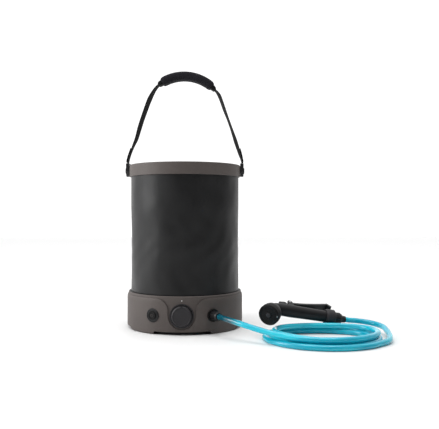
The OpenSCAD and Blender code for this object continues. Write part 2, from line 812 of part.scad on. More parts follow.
// Sprayer: X runs along the handle from the hose end to the head, Z towards the lever
tail_point = [383, -87.5, 28];
along_hint = [-0.9526, -0.2434, 0.1811];
lever_hint = [-0.163, 0.915, 0.371];
spray_along = unit(along_hint);
spray_up = unit(lever_hint - (lever_hint * spray_along) * spray_along);
spray_side = cross(spray_up, spray_along);
sleeve_l = 11;
spray_nut_end = 30;
collar_end = 52;
lever_s = 138;
elbow_s = 175;
lever_pivot = neck_r + 6;
valve_s = 118;
spigot_r = 8;
water_r = 5;
poppet_r = 4.2;
elbow_r = neck_r - 1;
neck_end = 14;
head_end = 33;
face_gap = 0.4;
face_front = 46;
spindle_r = 3;
valve_travel = 3.2;

module on_sprayer() {
    a = spray_along;
    s = spray_side;
    u = spray_up;
    p = tail_point;
    multmatrix([[a[0], s[0], u[0], p[0]], [a[1], s[1], u[1], p[1]], [a[2], s[2], u[2], p[2]], [0, 0, 0, 1]])
        children();
}
module along_handle() {
    on_sprayer() rotate([0, 90, 0]) children();
}
module on_head() {
    on_sprayer() translate([elbow_s, 0, 0]) rotate([0, 90 + head_tilt, 0]) children();
}

module sprayer_sleeve() {
    color(black) along_handle() difference() {
        cylinder(r1 = spigot_r - 0.4, r2 = spigot_r + 0.6, h = sleeve_l);
        rod(hose_hole_r, -cut, sleeve_l + cut);
    }
}

module sprayer_nut() {
    spray_nut_r = 13.5;
    ribs = 14;
    color(black) along_handle() difference() {
        rotate_extrude() polygon([[spigot_r + run_gap, sleeve_l], [spray_nut_r - 2.5, sleeve_l],
            [spray_nut_r - 0.8, sleeve_l + 4], [spray_nut_r, sleeve_l + 5], [spray_nut_r, spray_nut_end],
            [spigot_r + run_gap, spray_nut_end]]);
        for (i = [0:ribs - 1]) rotate([0, 0, 360 / ribs * i])
            translate([spray_nut_r + 0.5, 0, 0]) rod(1.5, sleeve_l + 3, spray_nut_end - 2);
    }
}

module sprayer_collar() {
    collar_r = 18.5;
    bevel = 2;
    color(charcoal) along_handle() rotate_extrude() polygon([[spigot_r + run_gap, spray_nut_end],
        [collar_r - bevel, spray_nut_end], [collar_r, spray_nut_end + bevel],
        [collar_r - 0.6, collar_end - 4], [collar_r - 3, collar_end], [spigot_r + run_gap, collar_end]]);
}

module sprayer_body() {
    ear_t = 3;
    ear_in = lever_w / 2 + move_gap;
    hump_gap = 13;
    hump_l = 10;
    hump_fall = 1.5;
    hump_s = lever_s + hump_gap;
    hump_r = 5;
    hump_mid = lever_pivot + 2 - hump_r;
    color(charcoal) difference() {
        union() {
            along_handle() rotate_extrude() polygon([[0, sleeve_l], [spigot_r, sleeve_l],
                [spigot_r, collar_end], [handle_r, collar_end], [handle_r + 0.2, collar_end + 20],
                [neck_r - 0.5, lever_s - 20], [neck_r, lever_s], [elbow_r, elbow_s], [0, elbow_s]]);
            on_head() sphere(r = elbow_r);
            on_head() rod(elbow_r, 0, neck_end);
            on_sprayer() for (side = [-1, 1]) translate([lever_s, side * (ear_in + ear_t / 2), 0])
                rotate([90, 0, 0]) translate([0, 0, -ear_t / 2]) linear_extrude(ear_t) {
                    translate([0, lever_pivot]) circle(r = 2.4 * pin_r);
                    translate([-2.4 * pin_r, 0]) square([4.8 * pin_r, lever_pivot]);
                }
            on_sprayer() rotate([90, 0, 0]) translate([0, 0, -lever_w / 2]) linear_extrude(lever_w)
                polygon(concat([[hump_s - hump_r, 0]], arc2([hump_s, hump_mid], hump_r, hump_r, 180, 90, 6),
                    arc2([hump_s + hump_l, hump_mid - hump_fall], hump_r, hump_r, 90, 0, 6),
                    [[hump_s + hump_l + hump_r, 0]]));
        }
        along_handle() rod(water_r, sleeve_l - cut, elbow_s);
        on_head() rod(water_r, -water_r, neck_end + cut);
        on_sprayer() {
            translate([valve_s, 0, 0]) rod(stem_r + run_gap, 0, neck_r + 5);
            translate([valve_s, 0, 0]) rod(seal_out_r + run_gap, seal_low, seal_low + seal_w);
            translate([valve_s, 0, 0]) rod(poppet_r + move_gap, -poppet_r - valve_travel - 1, 0);
            translate([lever_s, 0, lever_pivot]) rotate([90, 0, 0])
                rod(pin_r + run_gap, -lever_w, lever_w);
        }
    }
}

// The valve: a stem under the lever, with a ring that seals it
seal_out_r = stem_r + 2;
seal_low = water_r + 2.5;
seal_w = 2.5;

module valve_seal() {
    color(rubber) on_sprayer() translate([valve_s, 0, 0])
        tube(seal_out_r, stem_r + run_gap, seal_low, seal_low + seal_w);
}

module valve_stem() {
    top = lever_under(valve_s) - move_gap - 0.1;
    color(steel) on_sprayer() translate([valve_s, 0, 0]) {
        rod(stem_r, -2, top - stem_r);
        translate([0, 0, top - stem_r]) sphere(r = stem_r);
        rod(poppet_r, -poppet_r, -1.5);
    }
}

// Lever: a bar that bends away from the handle and curls in at its end
lever_end = [34, lever_pivot + 24];
lever_bend = [100, lever_pivot + 2];
lever_curl = [28, lever_pivot + 16];
lever_steps = 10;
lever_start = [lever_s, lever_pivot];
function bend(a, b, c, t) = a * (1 - t) * (1 - t) + 2 * b * t * (1 - t) + c * t * t;
function bend_way(t) = unit((1 - t) * (lever_bend - lever_start) + t * (lever_end - lever_bend));
function bend_side(t, d) = let (v = bend_way(t))
    bend(lever_start, lever_bend, lever_end, t) + d * [v[1], -v[0]];
// Height of the lever's underside over a place along the handle
function bend_at(s) = let (qa = lever_s - 2 * lever_bend[0] + lever_end[0],
    qb = 2 * (lever_bend[0] - lever_s), qc = lever_s - s) (-qb - sqrt(qb * qb - 4 * qa * qc)) / (2 * qa);
function lever_under(s) = bend(lever_start, lever_bend, lever_end, bend_at(s))[1] - lever_t / 2 * 1.02;

module lever() {
    half = lever_t / 2;
    bead_r = half + 0.4;
    curl = lever_curl - lever_end;
    color(black) on_sprayer() rotate([90, 0, 0]) difference() {
        translate([0, 0, -lever_w / 2]) linear_extrude(lever_w) {
            polygon(concat([for (i = [0:lever_steps]) bend_side(i / lever_steps, half)],
                [for (i = [lever_steps:-1:0]) bend_side(i / lever_steps, -half)]));
            translate(lever_start) circle(r = half + 2);
            translate(lever_end) circle(r = bead_r);
            translate(lever_end) rotate(atan2(curl[1], curl[0])) translate([0, -half])
                square([norm(curl), lever_t]);
            translate(lever_curl) circle(r = bead_r);
        }
        translate(lever_start) rod(pin_r + run_gap, -lever_w, lever_w);
    }
}

module lever_pin() {
    color(steel) on_sprayer() translate([lever_s, 0, lever_pivot]) rotate([90, 0, 0])
        rod(pin_r, -lever_w / 2 - move_gap - 3.5, lever_w / 2 + move_gap + 3.5);
}

// Head: a bell with a water chamber, a turning face with spray holes and the screw that it turns on
module spray_head() {
    wall = 3.5;
    chamber = 24;
    post_r = spindle_r + 4;
    color(charcoal) on_head() difference() {
        rotate_extrude() polygon(concat([[0, neck_end], [elbow_r, neck_end]],
            arc2([elbow_r, head_end - 3], face_r - elbow_r - 0.8, head_end - 3 - neck_end, -90, 0, 6),
            [[face_r - 0.8, head_end], [0, head_end]]));
        tube(face_r - wall - 0.8, post_r, chamber, head_end + cut);
        rod(water_r, neck_end - cut, neck_end + 4);
        rod(spindle_r + run_gap, neck_end + 6, head_end + cut);
        for (i = [0:3]) rotate([0, 0, 90 * i]) translate([water_r + 1.5, 0, 0])
            rod(2, neck_end + 1, chamber + 1);
    }
}

module spray_face() {
    ring_r = 9;
    dot_r = 17;
    holes = 10;
    dots = 12;
    grips = 24;
    back = head_end + face_gap;
    color(black) on_head() difference() {
        rotate_extrude() polygon([[0, back], [face_r - 0.6, back], [face_r, back + 1],
            [face_r, face_front - 2], [face_r - 2, face_front],
            [face_r - 4.5, face_front], [face_r - 5.5, face_front - 1],
            [spindle_r + 4, face_front - 1], [spindle_r + 3, face_front], [0, face_front]]);
        rod(spindle_r + run_gap, back - cut, face_front + cut);
        for (i = [0:holes - 1]) rotate([0, 0, 360 / holes * i]) translate([ring_r, 0, 0])
            rod(1, back - cut, face_front + cut);
        for (i = [0:dots - 1]) rotate([0, 0, 360 / dots * i]) translate([dot_r, 0, 0])
            rod(1.2, back - cut, face_front + cut);
        for (i = [0:grips - 1]) rotate([0, 0, 360 / grips * i]) translate([face_r + 0.6, 0, 0])
            rod(1.2, back + 2, face_front - 3);
    }
}

module face_screw() {
    color(black) on_head() difference() {
        union() {
            rod(spindle_r, neck_end + 7, face_front + 1);
            translate([0, 0, face_front + move_gap])
                cylinder(r1 = spindle_r + 2, r2 = spindle_r + 1, h = 1.5);
        }
        rod(1.2, face_front - 4, face_front + 3);
    }
}

// Hose: a lead down to the pile, the piled loops and the tail up to the sprayer
hose_r = hose_d / 2;
hose_sides = 10;
lead_dir = [sin(outlet_angle), -cos(outlet_angle), 0];
lead_start = nut_end * lead_dir + [0, 0, control_z];
pile_x = 316.5;
pile_y = -187;
pile_rx = 121.5;
pile_ry = 108.4;
pile_pitch = 14.4;
loop_rings = 24;
pile_start = 230;
pile_last = 1392;
drop_start = 560;
drop_end = 740;
turn_back = (drop_start + drop_end) / 2;
layer_step = hose_d + 0.7;
draw_in = 34;

// The loops spiral in on the top layer, go down a layer where they turn back, and spiral out on the floor.
// The top layer and the inner loop are drawn forward at the back, so that the handle lies clear of them
function pile_in(p) = p < turn_back ? (p - pile_start) / 360 : (2 * turn_back - pile_start - p) / 360;
function pile_level(p) = let (t = min(max((p - drop_start) / (drop_end - drop_start), 0), 1))
    1 - t * t * (3 - 2 * t);
function pile_drawn(p) = draw_in * max(pile_level(p), min(max(pile_in(p), 0), 1)) * ((1 + sin(p)) / 2)^3;
function pile_point(p) = [pile_x + (pile_rx - pile_pitch * pile_in(p)) * cos(p),
    pile_y + (pile_ry - pile_pitch * pile_in(p)) * sin(p) - pile_drawn(p),
    hose_r + layer_step * pile_level(p)];
pile_steps = round((pile_last - pile_start) / 360 * loop_rings);
pile_path = [for (i = [0:pile_steps]) pile_point(pile_start + (pile_last - pile_start) * i / pile_steps)];
pile_gap = min([for (i = [0:pile_steps], j = [i + loop_rings / 2:pile_steps])
    norm(pile_path[i] - pile_path[j])]) - hose_d;
echo(least_gap_between_loops = pile_gap);
lead_path = spline(concat([lead_start, lead_start + hose_d * lead_dir],
    [[102, -175, 43.2], [120, -195, 40.5], [150, -219, 34.5], [188, -242, 26.5]], [pile_path[0]]), 4);

// The tail goes round an even bend, from straight back to the way that the sprayer lies
tail_bend_r = 56;
tail_arcs = 8;
tail_low = 16.5;
tail_join = tail_point - hose_d * spray_along;
tail_turn = 90 + atan2(-spray_along[1], -spray_along[0]);
tail_centre = tail_join - tail_bend_r * [cos(tail_turn), sin(tail_turn), 0];
function tail_arc(t) = [tail_centre[0] + tail_bend_r * cos(t * tail_turn),
    tail_centre[1] + tail_bend_r * sin(t * tail_turn), tail_low + (tail_join[2] - tail_low) * t];
tail_path = spline(concat([pile_path[pile_steps]], [[445, -238, 7.2], [458.5, -205, 9.6], [464, -170, 13]],
    [for (i = [0:tail_arcs]) tail_arc(i / tail_arcs)], [tail_point]), 4);
pile_first = heading(pile_path, 0);
pile_final = heading(pile_path, pile_steps);

module hose_lead() {
    color(cyan) round_sweep(lead_path, hose_r, hose_sides, lead_dir, pile_first);
}

module hose_coil() {
    color(cyan) round_sweep(pile_path, hose_r, 6, pile_first, pile_final);
}

module hose_tail() {
    color(cyan) round_sweep(tail_path, hose_r, hose_sides, pile_final, spray_along);
}

base_shell();
bottom_cover();
cover_screws();
reservoir_floor();
deck_gasket();
hem_ring();
reservoir_wall();
rim_ring();
rim_clamp();
rim_pegs();
strap_fittings();
strap();
grip_core();
grip_wrap();
intake_strainer();
pump_cover();
pump_housing();
shaft_seal();
impeller();
pump_shaft();
motor();
outlet_fitting();
outlet_seal();
outlet_flange();
outlet_nut();
battery_socket();
contact_block();
battery_case();
battery_cells();
battery_cap();
button_bezel();
power_button();
power_switch();
circuit_board();
hose_lead();
hose_coil();
hose_tail();
sprayer_sleeve();
sprayer_nut();
sprayer_collar();
sprayer_body();
spray_head();
spray_face();
face_screw();
lever();
lever_pin();
valve_stem();
valve_seal();
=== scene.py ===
# %% [markdown]
# # A camp shower pump, piece by piece
# The object is a fabric bucket on a plastic pump base, with a carry strap, a tinted hose and a hand sprayer.
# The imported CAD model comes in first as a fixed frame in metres, with +Z up and the front towards -Y.
# Rigid pieces keep their CAD shapes and get a finish. Fabric, foam and hose are worked out here as surfaces.

# %% Load the frame
import json
import math
import bpy
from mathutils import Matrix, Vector
import numpy as np


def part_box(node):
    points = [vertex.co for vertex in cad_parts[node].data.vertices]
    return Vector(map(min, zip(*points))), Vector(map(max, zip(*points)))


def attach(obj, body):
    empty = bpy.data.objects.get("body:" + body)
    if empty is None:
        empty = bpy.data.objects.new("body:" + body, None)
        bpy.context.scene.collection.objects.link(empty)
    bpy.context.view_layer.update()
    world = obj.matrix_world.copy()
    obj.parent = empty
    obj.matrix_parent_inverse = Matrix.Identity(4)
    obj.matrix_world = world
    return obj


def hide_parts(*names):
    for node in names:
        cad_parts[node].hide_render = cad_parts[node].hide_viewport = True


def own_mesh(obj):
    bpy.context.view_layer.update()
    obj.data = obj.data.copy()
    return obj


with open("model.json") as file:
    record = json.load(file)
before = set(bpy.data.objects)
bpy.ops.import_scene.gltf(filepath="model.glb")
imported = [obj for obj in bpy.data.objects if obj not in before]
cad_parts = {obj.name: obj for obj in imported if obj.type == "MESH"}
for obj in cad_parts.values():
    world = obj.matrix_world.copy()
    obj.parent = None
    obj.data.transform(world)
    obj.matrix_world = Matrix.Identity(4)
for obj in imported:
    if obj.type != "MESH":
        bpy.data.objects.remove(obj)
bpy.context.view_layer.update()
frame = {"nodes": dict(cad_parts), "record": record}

nodes = frame["nodes"]

# %% [markdown]
# ## The camera
# The photograph was taken from the front, a little above the middle of the bucket, with level verticals.
# One lens and one place follow from the hose and the bucket's sizes in the picture, so no shift is needed.
# A camera that is turned 90 degrees about X looks straight along +Y.

# %% Camera
scene = bpy.context.scene
photo_width = 439
photo_focal_pixels = 626.6
sensor_width = 36
camera_place = (0.0864, -1.573, 0.2768)
camera_data = bpy.data.cameras.new("camera")
camera_data.sensor_width = sensor_width
camera_data.lens = sensor_width * photo_focal_pixels / photo_width
camera = bpy.data.objects.new("camera", camera_data)
camera.location = camera_place
camera.rotation_euler = (math.radians(90), 0, 0)
scene.collection.objects.link(camera)
scene.camera = camera
print("lens", round(camera_data.lens, 2))

# %% [markdown]
# ## Surfaces from grids
# Every soft piece is a grid of points: rows run along it and columns run round it.
# Numpy works out all the points at once, and the faces follow from the grid's own numbering.
# Each corner of a face also gets a UV pair in metres, so that a weave has the same size everywhere.

# %% Grid helper
def unit(vectors):
    """Each vector divided by its own length."""
    return vectors / np.linalg.norm(vectors, axis=-1, keepdims=True)


def steps_along(points):
    """Distance of each point from the first one, measured along the line through them."""
    return np.concatenate([[0], np.cumsum(np.linalg.norm(np.diff(points, axis=0), axis=1))])


def grid_faces(rows, columns):
    """Corner numbers of each quad between two rows and two columns. The last column joins the first."""
    index = np.arange(rows * columns).reshape(rows, columns)
    index = np.concatenate([index, index[:, :1]], axis=1)
    return np.stack([index[:-1, :-1], index[:-1, 1:], index[1:, 1:], index[1:, :-1]], axis=-1).reshape(-1, 4)


def signed_volume(points, quads):
    """Six times the volume inside the quads, positive where their faces point outwards."""
    a, b, c, d = (points[quads[:, k]] for k in range(4))
    return np.sum(np.cross(a, b) * c) + np.sum(np.cross(a, c) * d)


def mesh_piece(name, points, faces, uv=None, smooth=True):
    """A mesh object at the origin from points, faces and, if given, one UV pair for each corner of a face."""
    mesh = bpy.data.meshes.new(name)
    mesh.from_pydata(points.tolist(), [], [list(map(int, face)) for face in faces])
    if uv is not None:
        layer = mesh.uv_layers.new(name="along_and_round")
        layer.data.foreach_set("uv", np.asarray(uv, np.float32).ravel())
    mesh.polygons.foreach_set("use_smooth", [smooth] * len(mesh.polygons))
    mesh.update()
    piece = bpy.data.objects.new(name, mesh)
    scene.collection.objects.link(piece)
    return piece


def grid_piece(name, grid, along, across, caps=True):
    """A round piece from a grid of points. along and across give the UV pair of each row and each column."""
    rows, columns = grid.shape[:2]
    points = grid.reshape(-1, 3)
    quads = grid_faces(rows, columns)
    i, j = np.divmod(np.arange(len(quads)), columns)
    corners_u = np.stack([along[i], along[i], along[i + 1], along[i + 1]], axis=1)
    corners_v = np.stack([across[j], across[j + 1], across[j + 1], across[j]], axis=1)
    rings = [list(range(columns))[::-1], list(range((rows - 1) * columns, rows * columns))]
    if signed_volume(points, quads) < 0:
        quads = quads[:, ::-1]
        corners_u = corners_u[:, ::-1]
        corners_v = corners_v[:, ::-1]
        rings = [ring[::-1] for ring in rings]
    uv = np.stack([corners_u, corners_v], axis=-1).reshape(-1, 2)
    faces = quads.tolist()
    if caps:
        faces += rings
        uv = np.concatenate([uv, np.zeros((2 * columns, 2))])
    return mesh_piece(name, points, faces, uv)


def spline(points, steps):
    """A Catmull-Rom curve: between two points it is the cubic whose slopes join their neighbours."""
    p = np.asarray(points, float)
    p = np.concatenate([[2 * p[0] - p[1]], p, [2 * p[-1] - p[-2]]])
    t = np.linspace(0, 1, steps, endpoint=False)[:, None]
    a, b, c, d = (p[k:len(p) - 3 + k, None, :] for k in range(4))
    cubic = (2 * b + (c - a) * t + (2 * a - 5 * b + 4 * c - d) * t**2 + (3 * b - a - 3 * c + d) * t**3) / 2
    return np.concatenate([cubic.reshape(-1, 3), p[-2:-1]])


def headings(path):
    """Direction of travel at each point, from the point before it to the point after it."""
    return unit(np.concatenate([path[1:2] - path[:1], path[2:] - path[:-2], path[-1:] - path[-2:-1]]))

# %% [markdown]
# ## The hose
# The hose is a half-inch vinyl tube. It leaves the nut at the base, drops to the ground and lies in a pile of
# loose loops, and its tail comes up to the sprayer. A curve with a bevel would do, but a tube that is swept
# by numpy also carries a UV map along its length. The loops spiral in on the top layer, go down a layer where
# they turn back, and spiral out on the ground. The whole hose is in view, so its length is that of the route.

# %% Hose route
hose_diameter = 0.0127
hose_radius = hose_diameter / 2
hose_sides = 24
spline_steps = 8
control_z = 0.044
exit_reach = 0.170
outlet_turn = math.radians(30)
outlet_way = np.array([math.sin(outlet_turn), -math.cos(outlet_turn), 0])
hose_exit = exit_reach * outlet_way + [0, 0, control_z]
lead_points = np.array([[0.102, -0.175, 0.0432], [0.120, -0.195, 0.0405], [0.150, -0.219, 0.0345],
                        [0.188, -0.242, 0.0265]])
tail_points = np.array([[0.445, -0.238, 0.0072], [0.4585, -0.205, 0.0096], [0.464, -0.170, 0.0130]])
tail_bend_radius = 0.056
tail_arcs = 8
tail_low = 0.0165
sprayer_tail = np.array([0.383, -0.0875, 0.028])
spray_along = unit(np.array([-0.9526, -0.2434, 0.1811]))
tail_join = sprayer_tail - hose_diameter * spray_along
pile_centre = np.array([0.3165, -0.187])
pile_radii = np.array([0.1215, 0.1084])
pile_pitch = 0.0144
layer_step = 0.0134
draw_in = 0.034
pile_start, pile_end = 230, 1392
drop_start, drop_end = 560, 740
turn_back = (drop_start + drop_end) / 2
rings_per_turn = 72


def pile_route():
    """Loops of an ellipse that shrink by a pitch a turn and grow again, a layer lower and flatter behind."""
    degrees = np.linspace(pile_start, pile_end, round((pile_end - pile_start) / 360 * rings_per_turn) + 1)
    turns_in = np.where(degrees < turn_back, degrees - pile_start, 2 * turn_back - pile_start - degrees) / 360
    drop = np.clip((degrees - drop_start) / (drop_end - drop_start), 0, 1)
    layer = 1 - drop**2 * (3 - 2 * drop)
    angle = np.radians(degrees)
    x = pile_centre[0] + (pile_radii[0] - pile_pitch * turns_in) * np.cos(angle)
    y = pile_centre[1] + (pile_radii[1] - pile_pitch * turns_in) * np.sin(angle)
    drawn = draw_in * np.maximum(layer, np.clip(turns_in, 0, 1)) * ((1 + np.sin(angle)) / 2) ** 3
    return np.stack([x, y - drawn, hose_radius + layer_step * layer], axis=1)


def tail_bend():
    """An even bend from straight back to the way the sprayer lies, rising to the end of the sprayer."""
    turn = math.pi / 2 + math.atan2(-spray_along[1], -spray_along[0])
    centre = tail_join[:2] - tail_bend_radius * np.array([math.cos(turn), math.sin(turn)])
    angle = np.linspace(0, turn, tail_arcs + 1)
    height = np.linspace(tail_low, tail_join[2], tail_arcs + 1)
    x = centre[0] + tail_bend_radius * np.cos(angle)
    y = centre[1] + tail_bend_radius * np.sin(angle)
    return np.stack([x, y, height], axis=1)


pile = pile_route()
lead_start = [hose_exit, hose_exit + hose_diameter * outlet_way]
lead = spline(np.concatenate([lead_start, lead_points, pile[:1]]), spline_steps)
tail = spline(np.concatenate([pile[-1:], tail_points, tail_bend(), [sprayer_tail]]), spline_steps)
hose_path = np.concatenate([lead[:-1], pile, tail[1:]])

# %% Hose tube
def tube(name, path, radius, sides):
    """A circle carried along a path: each ring stands square to the path, with its side vector level."""
    way = headings(path)
    side = unit(np.cross([0, 0, 1], way))
    up = np.cross(way, side)
    turn = np.linspace(0, 2 * np.pi, sides, endpoint=False)
    rings = np.cos(turn)[None, :, None] * side[:, None] + np.sin(turn)[None, :, None] * up[:, None]
    grid = path[:, None] + radius * rings
    return grid_piece(name, grid, steps_along(path), np.linspace(0, 2 * np.pi * radius, sides + 1))


hose = tube("hose", hose_path, hose_radius, hose_sides)
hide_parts("hose_lead", "hose_coil", "hose_tail")
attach(hose, "root")
print("hose triangles", 2 * len(hose.data.polygons))

# %% [markdown]
# ## Writing finishes as sums
# A finish is a tree of shader nodes. Small wrappers let the tree be written as ordinary Python sums:
# a Value holds one socket, and each operator on it adds one Math node. Everything else goes through one
# node method. Patterns read Object coordinates in metres, or a piece's UV map where they follow the surface.

# %% Finish helper
class Value:
    """One socket of a shader tree, which takes part in sums. Each operator adds a Math node."""

    def __init__(self, tree, socket):
        self.tree = tree
        self.socket = socket

    def __add__(self, other):
        return self.tree.math("ADD", self, other)

    def __sub__(self, other):
        return self.tree.math("SUBTRACT", self, other)

    def __rsub__(self, other):
        return self.tree.math("SUBTRACT", other, self)

    def __mul__(self, other):
        return self.tree.math("MULTIPLY", self, other)

    __radd__ = __add__
    __rmul__ = __mul__


class Tree:
    """A node tree and the calls that build its nodes."""

    def __init__(self, tree):
        self.tree = tree

    def fill(self, node, inputs):
        """Fills a node's sockets with numbers or links."""
        for key, given in inputs.items():
            if isinstance(given, Value):
                self.tree.links.new(given.socket, node.inputs[key])
            else:
                node.inputs[key].default_value = given

    def node(self, kind, settings=None, inputs=None, output=0):
        """Adds a node, sets its settings, fills its sockets and returns one of its outputs."""
        made = self.tree.nodes.new(kind)
        for key, setting in (settings or {}).items():
            setattr(made, key, setting)
        self.fill(made, inputs or {})
        return Value(self, made.outputs[output])

    def math(self, operation, a, b=0.0):
        return self.node("ShaderNodeMath", {"operation": operation}, {0: a, 1: b})

    def mix(self, factor, a, b):
        """A colour between a and b."""
        settings = {"data_type": "RGBA"}
        return self.node("ShaderNodeMix", settings, {"Factor": factor, 6: a, 7: b}, output=2)

    def parts_of(self, vector):
        """The three numbers of a vector."""
        split = self.node("ShaderNodeSeparateXYZ", None, {0: vector})
        outputs = split.socket.node.outputs
        return [Value(self, outputs[k]) for k in range(3)]


class Finish(Tree):
    """A material and the calls that make up its surface."""

    def __init__(self, name):
        self.material = bpy.data.materials.new(name)
        self.material.use_nodes = True
        super().__init__(self.material.node_tree)
        self.shader = self.tree.nodes["Principled BSDF"]

    def place(self):
        """Object coordinates: metres in the part's own frame."""
        return self.node("ShaderNodeTexCoord", output="Object")

    def surface_uv(self):
        """The piece's UV map: metres along it and metres round it."""
        return self.node("ShaderNodeUVMap", {"uv_map": "along_and_round"})

    def noise(self, where, scale, detail=3.0, roughness=0.5):
        inputs = {"Vector": where, "Scale": scale, "Detail": detail, "Roughness": roughness}
        return self.node("ShaderNodeTexNoise", None, inputs)

    def stretch(self, where, scale):
        """The same coordinates, stretched by a factor on each axis."""
        return self.node("ShaderNodeMapping", None, {"Vector": where, "Scale": scale})

    def band(self, value, low, high, from_value=0.0, to_value=1.0):
        """A number that runs from from_value to to_value while value runs from low to high."""
        inputs = {0: value, 1: low, 2: high, 3: from_value, 4: to_value}
        return self.node("ShaderNodeMapRange", {"interpolation_type": "SMOOTHSTEP"}, inputs)

    def surface(self, colour, roughness, height=None, relief=0.0002, strength=0.6, **constants):
        """Joins a colour, a roughness and a relief in metres to the shader, and sets its constant sockets."""
        sockets = {"Base Color": colour, "Roughness": roughness}
        if height is not None:
            bump = {"Height": height, "Strength": strength, "Distance": relief}
            sockets["Normal"] = self.node("ShaderNodeBump", None, bump)
        self.fill(self.shader, sockets)
        self.fill(self.shader, {key.replace("_", " "): number for key, number in constants.items()})
        return self.material


def rgb(red, green, blue):
    """A colour from its 0 to 255 screen values, as the linear numbers that a shader takes."""
    screen = np.array([red, green, blue]) / 255
    linear = np.where(screen <= 0.04045, screen / 12.92, ((screen + 0.055) / 1.055) ** 2.4)
    return (*[float(number) for number in linear], 1.0)


def give(material, *names):
    """Puts one material on CAD nodes."""
    for name in names:
        nodes[name].data.materials.clear()
        nodes[name].data.materials.append(material)

# %% [markdown]
# ## Moulded plastic
# The base, the rim and the sprayer are injection moulded. Such a surface has a fine spark-eroded grain that
# breaks up its highlights and slight cloudy differences in tone. The base is scuffed where it is set down.
# The grain is a small noise in the relief. The scuffs are a stretched noise that a height band lets through.

# %% Moulded plastic finishes
def moulded(name, tone, scuffed, grain=2600.0, gloss=0.46, scuff_height=0.0, shine=0.4):
    """Tone with cloudy mottling, grain in the relief, and scuffs below scuff_height."""
    finish = Finish(name)
    where = finish.place()
    cloud = finish.noise(where, 14.0, 4.0)
    grit = finish.noise(where, grain, 2.0)
    speck = finish.noise(where, 420.0, 3.0, 0.6)
    colour = finish.mix(finish.band(cloud, 0.35, 0.7, 0.0, 0.35), tone, scuffed)
    colour = finish.mix(finish.band(speck, 0.58, 0.72, 0.0, 0.25), colour, scuffed)
    rough = gloss + 0.16 * cloud + 0.08 * grit
    if scuff_height > 0:
        height = finish.parts_of(where)[2]
        low = finish.band(height, 0.0, scuff_height, 1.0, 0.0)
        scratch = finish.noise(finish.stretch(where, (60.0, 60.0, 900.0)), 1.0, 4.0, 0.65)
        scuff = low * finish.band(scratch, 0.52, 0.7)
        colour = finish.mix(0.55 * scuff, colour, scuffed)
        rough = rough + 0.15 * scuff
    return finish.surface(colour, rough, grit + 0.5 * speck, 0.00012, 0.5, Specular_IOR_Level=shine)


taupe_plastic = moulded("taupe_plastic", rgb(74, 67, 64), rgb(90, 83, 80), scuff_height=0.016)
charcoal_plastic = moulded("charcoal_plastic", rgb(34, 32, 35), rgb(46, 44, 47))
black_plastic = moulded("black_plastic", rgb(15, 15, 17), rgb(27, 27, 29), gloss=0.34)
control_plastic = moulded("control_plastic", rgb(5, 4, 4), rgb(13, 11, 11), gloss=0.4, shine=0.2)
inner_plastic = moulded("inner_plastic", rgb(48, 48, 50), rgb(62, 62, 64), grain=1500.0)
sprayer_plastic = moulded("sprayer_plastic", rgb(17, 16, 18), rgb(30, 28, 32), gloss=0.36, shine=0.25)
face_plastic = moulded("face_plastic", rgb(9, 9, 10), rgb(17, 17, 19), gloss=0.48, shine=0.22)
nozzle_plastic = moulded("nozzle_plastic", rgb(40, 40, 43), rgb(60, 60, 63))
impeller_plastic = moulded("impeller_plastic", rgb(205, 198, 180), rgb(180, 172, 150), gloss=0.3)
give(taupe_plastic, "base_shell", "rim_ring")
give(charcoal_plastic, "battery_socket", "battery_cap", "sprayer_collar")
give(black_plastic, "rim_pegs", "strap_fittings", "outlet_nut", "outlet_fitting", "button_bezel",
     "battery_case", "power_switch", "lever", "sprayer_nut", "sprayer_sleeve")
give(control_plastic, "power_button", "outlet_flange")
give(inner_plastic, "bottom_cover", "reservoir_floor", "hem_ring", "rim_clamp", "intake_strainer",
     "pump_cover", "pump_housing")
give(sprayer_plastic, "sprayer_body", "spray_head")
give(face_plastic, "spray_face")
give(nozzle_plastic, "face_screw")
give(impeller_plastic, "impeller")
print("plastic finishes", [m.name for m in bpy.data.materials if "plastic" in m.name])

# %% [markdown]
# ## Rubber, metal and the parts inside
# Seals are dull rubber, and the motor can, pins and screws are drawn steel with fine lines along the drawing.
# The contacts are plated brass, the cells wear a thin shrink wrap and the board has a green solder mask.
# A stretched noise makes drawn lines, because noise that is stretched along one axis turns into streaks.

# %% Rubber, metal and inner finishes
def dull_rubber(name, tone, worn):
    finish = Finish(name)
    where = finish.place()
    bloom = finish.noise(where, 90.0, 4.0)
    grit = finish.noise(where, 1800.0)
    colour = finish.mix(finish.band(bloom, 0.4, 0.75), tone, worn)
    return finish.surface(colour, 0.7 + 0.15 * bloom, grit, 0.0001, 0.4)


def drawn_metal(name, tone, dull, streaks):
    finish = Finish(name)
    where = finish.place()
    streak = finish.noise(finish.stretch(where, streaks), 1.0, 4.0, 0.6)
    stain = finish.noise(where, 60.0, 3.0)
    colour = finish.mix(finish.band(streak, 0.35, 0.7), tone, dull)
    return finish.surface(colour, 0.22 + 0.25 * streak + 0.1 * stain, streak, 0.00004, 0.4, Metallic=1.0)


def printed_board(name):
    finish = Finish(name)
    where = finish.place()
    edges = {"feature": "DISTANCE_TO_EDGE"}
    cells = finish.node("ShaderNodeTexVoronoi", edges, {"Vector": where, "Scale": 260.0})
    track = finish.band(cells, 0.04, 0.07, 1.0, 0.0)
    colour = finish.mix(track, rgb(18, 84, 48), rgb(34, 120, 70))
    return finish.surface(colour, 0.34 + 0.12 * track, track, 0.00005, 0.4)


def shrink_wrap(name):
    finish = Finish(name)
    where = finish.place()
    crease = finish.noise(finish.stretch(where, (300.0, 40.0, 300.0)), 1.0, 3.0)
    colour = finish.mix(finish.band(crease, 0.4, 0.7), rgb(20, 120, 84), rgb(12, 92, 66))
    return finish.surface(colour, 0.18 + 0.2 * crease, crease, 0.0001, 0.5, Coat_Weight=0.3)


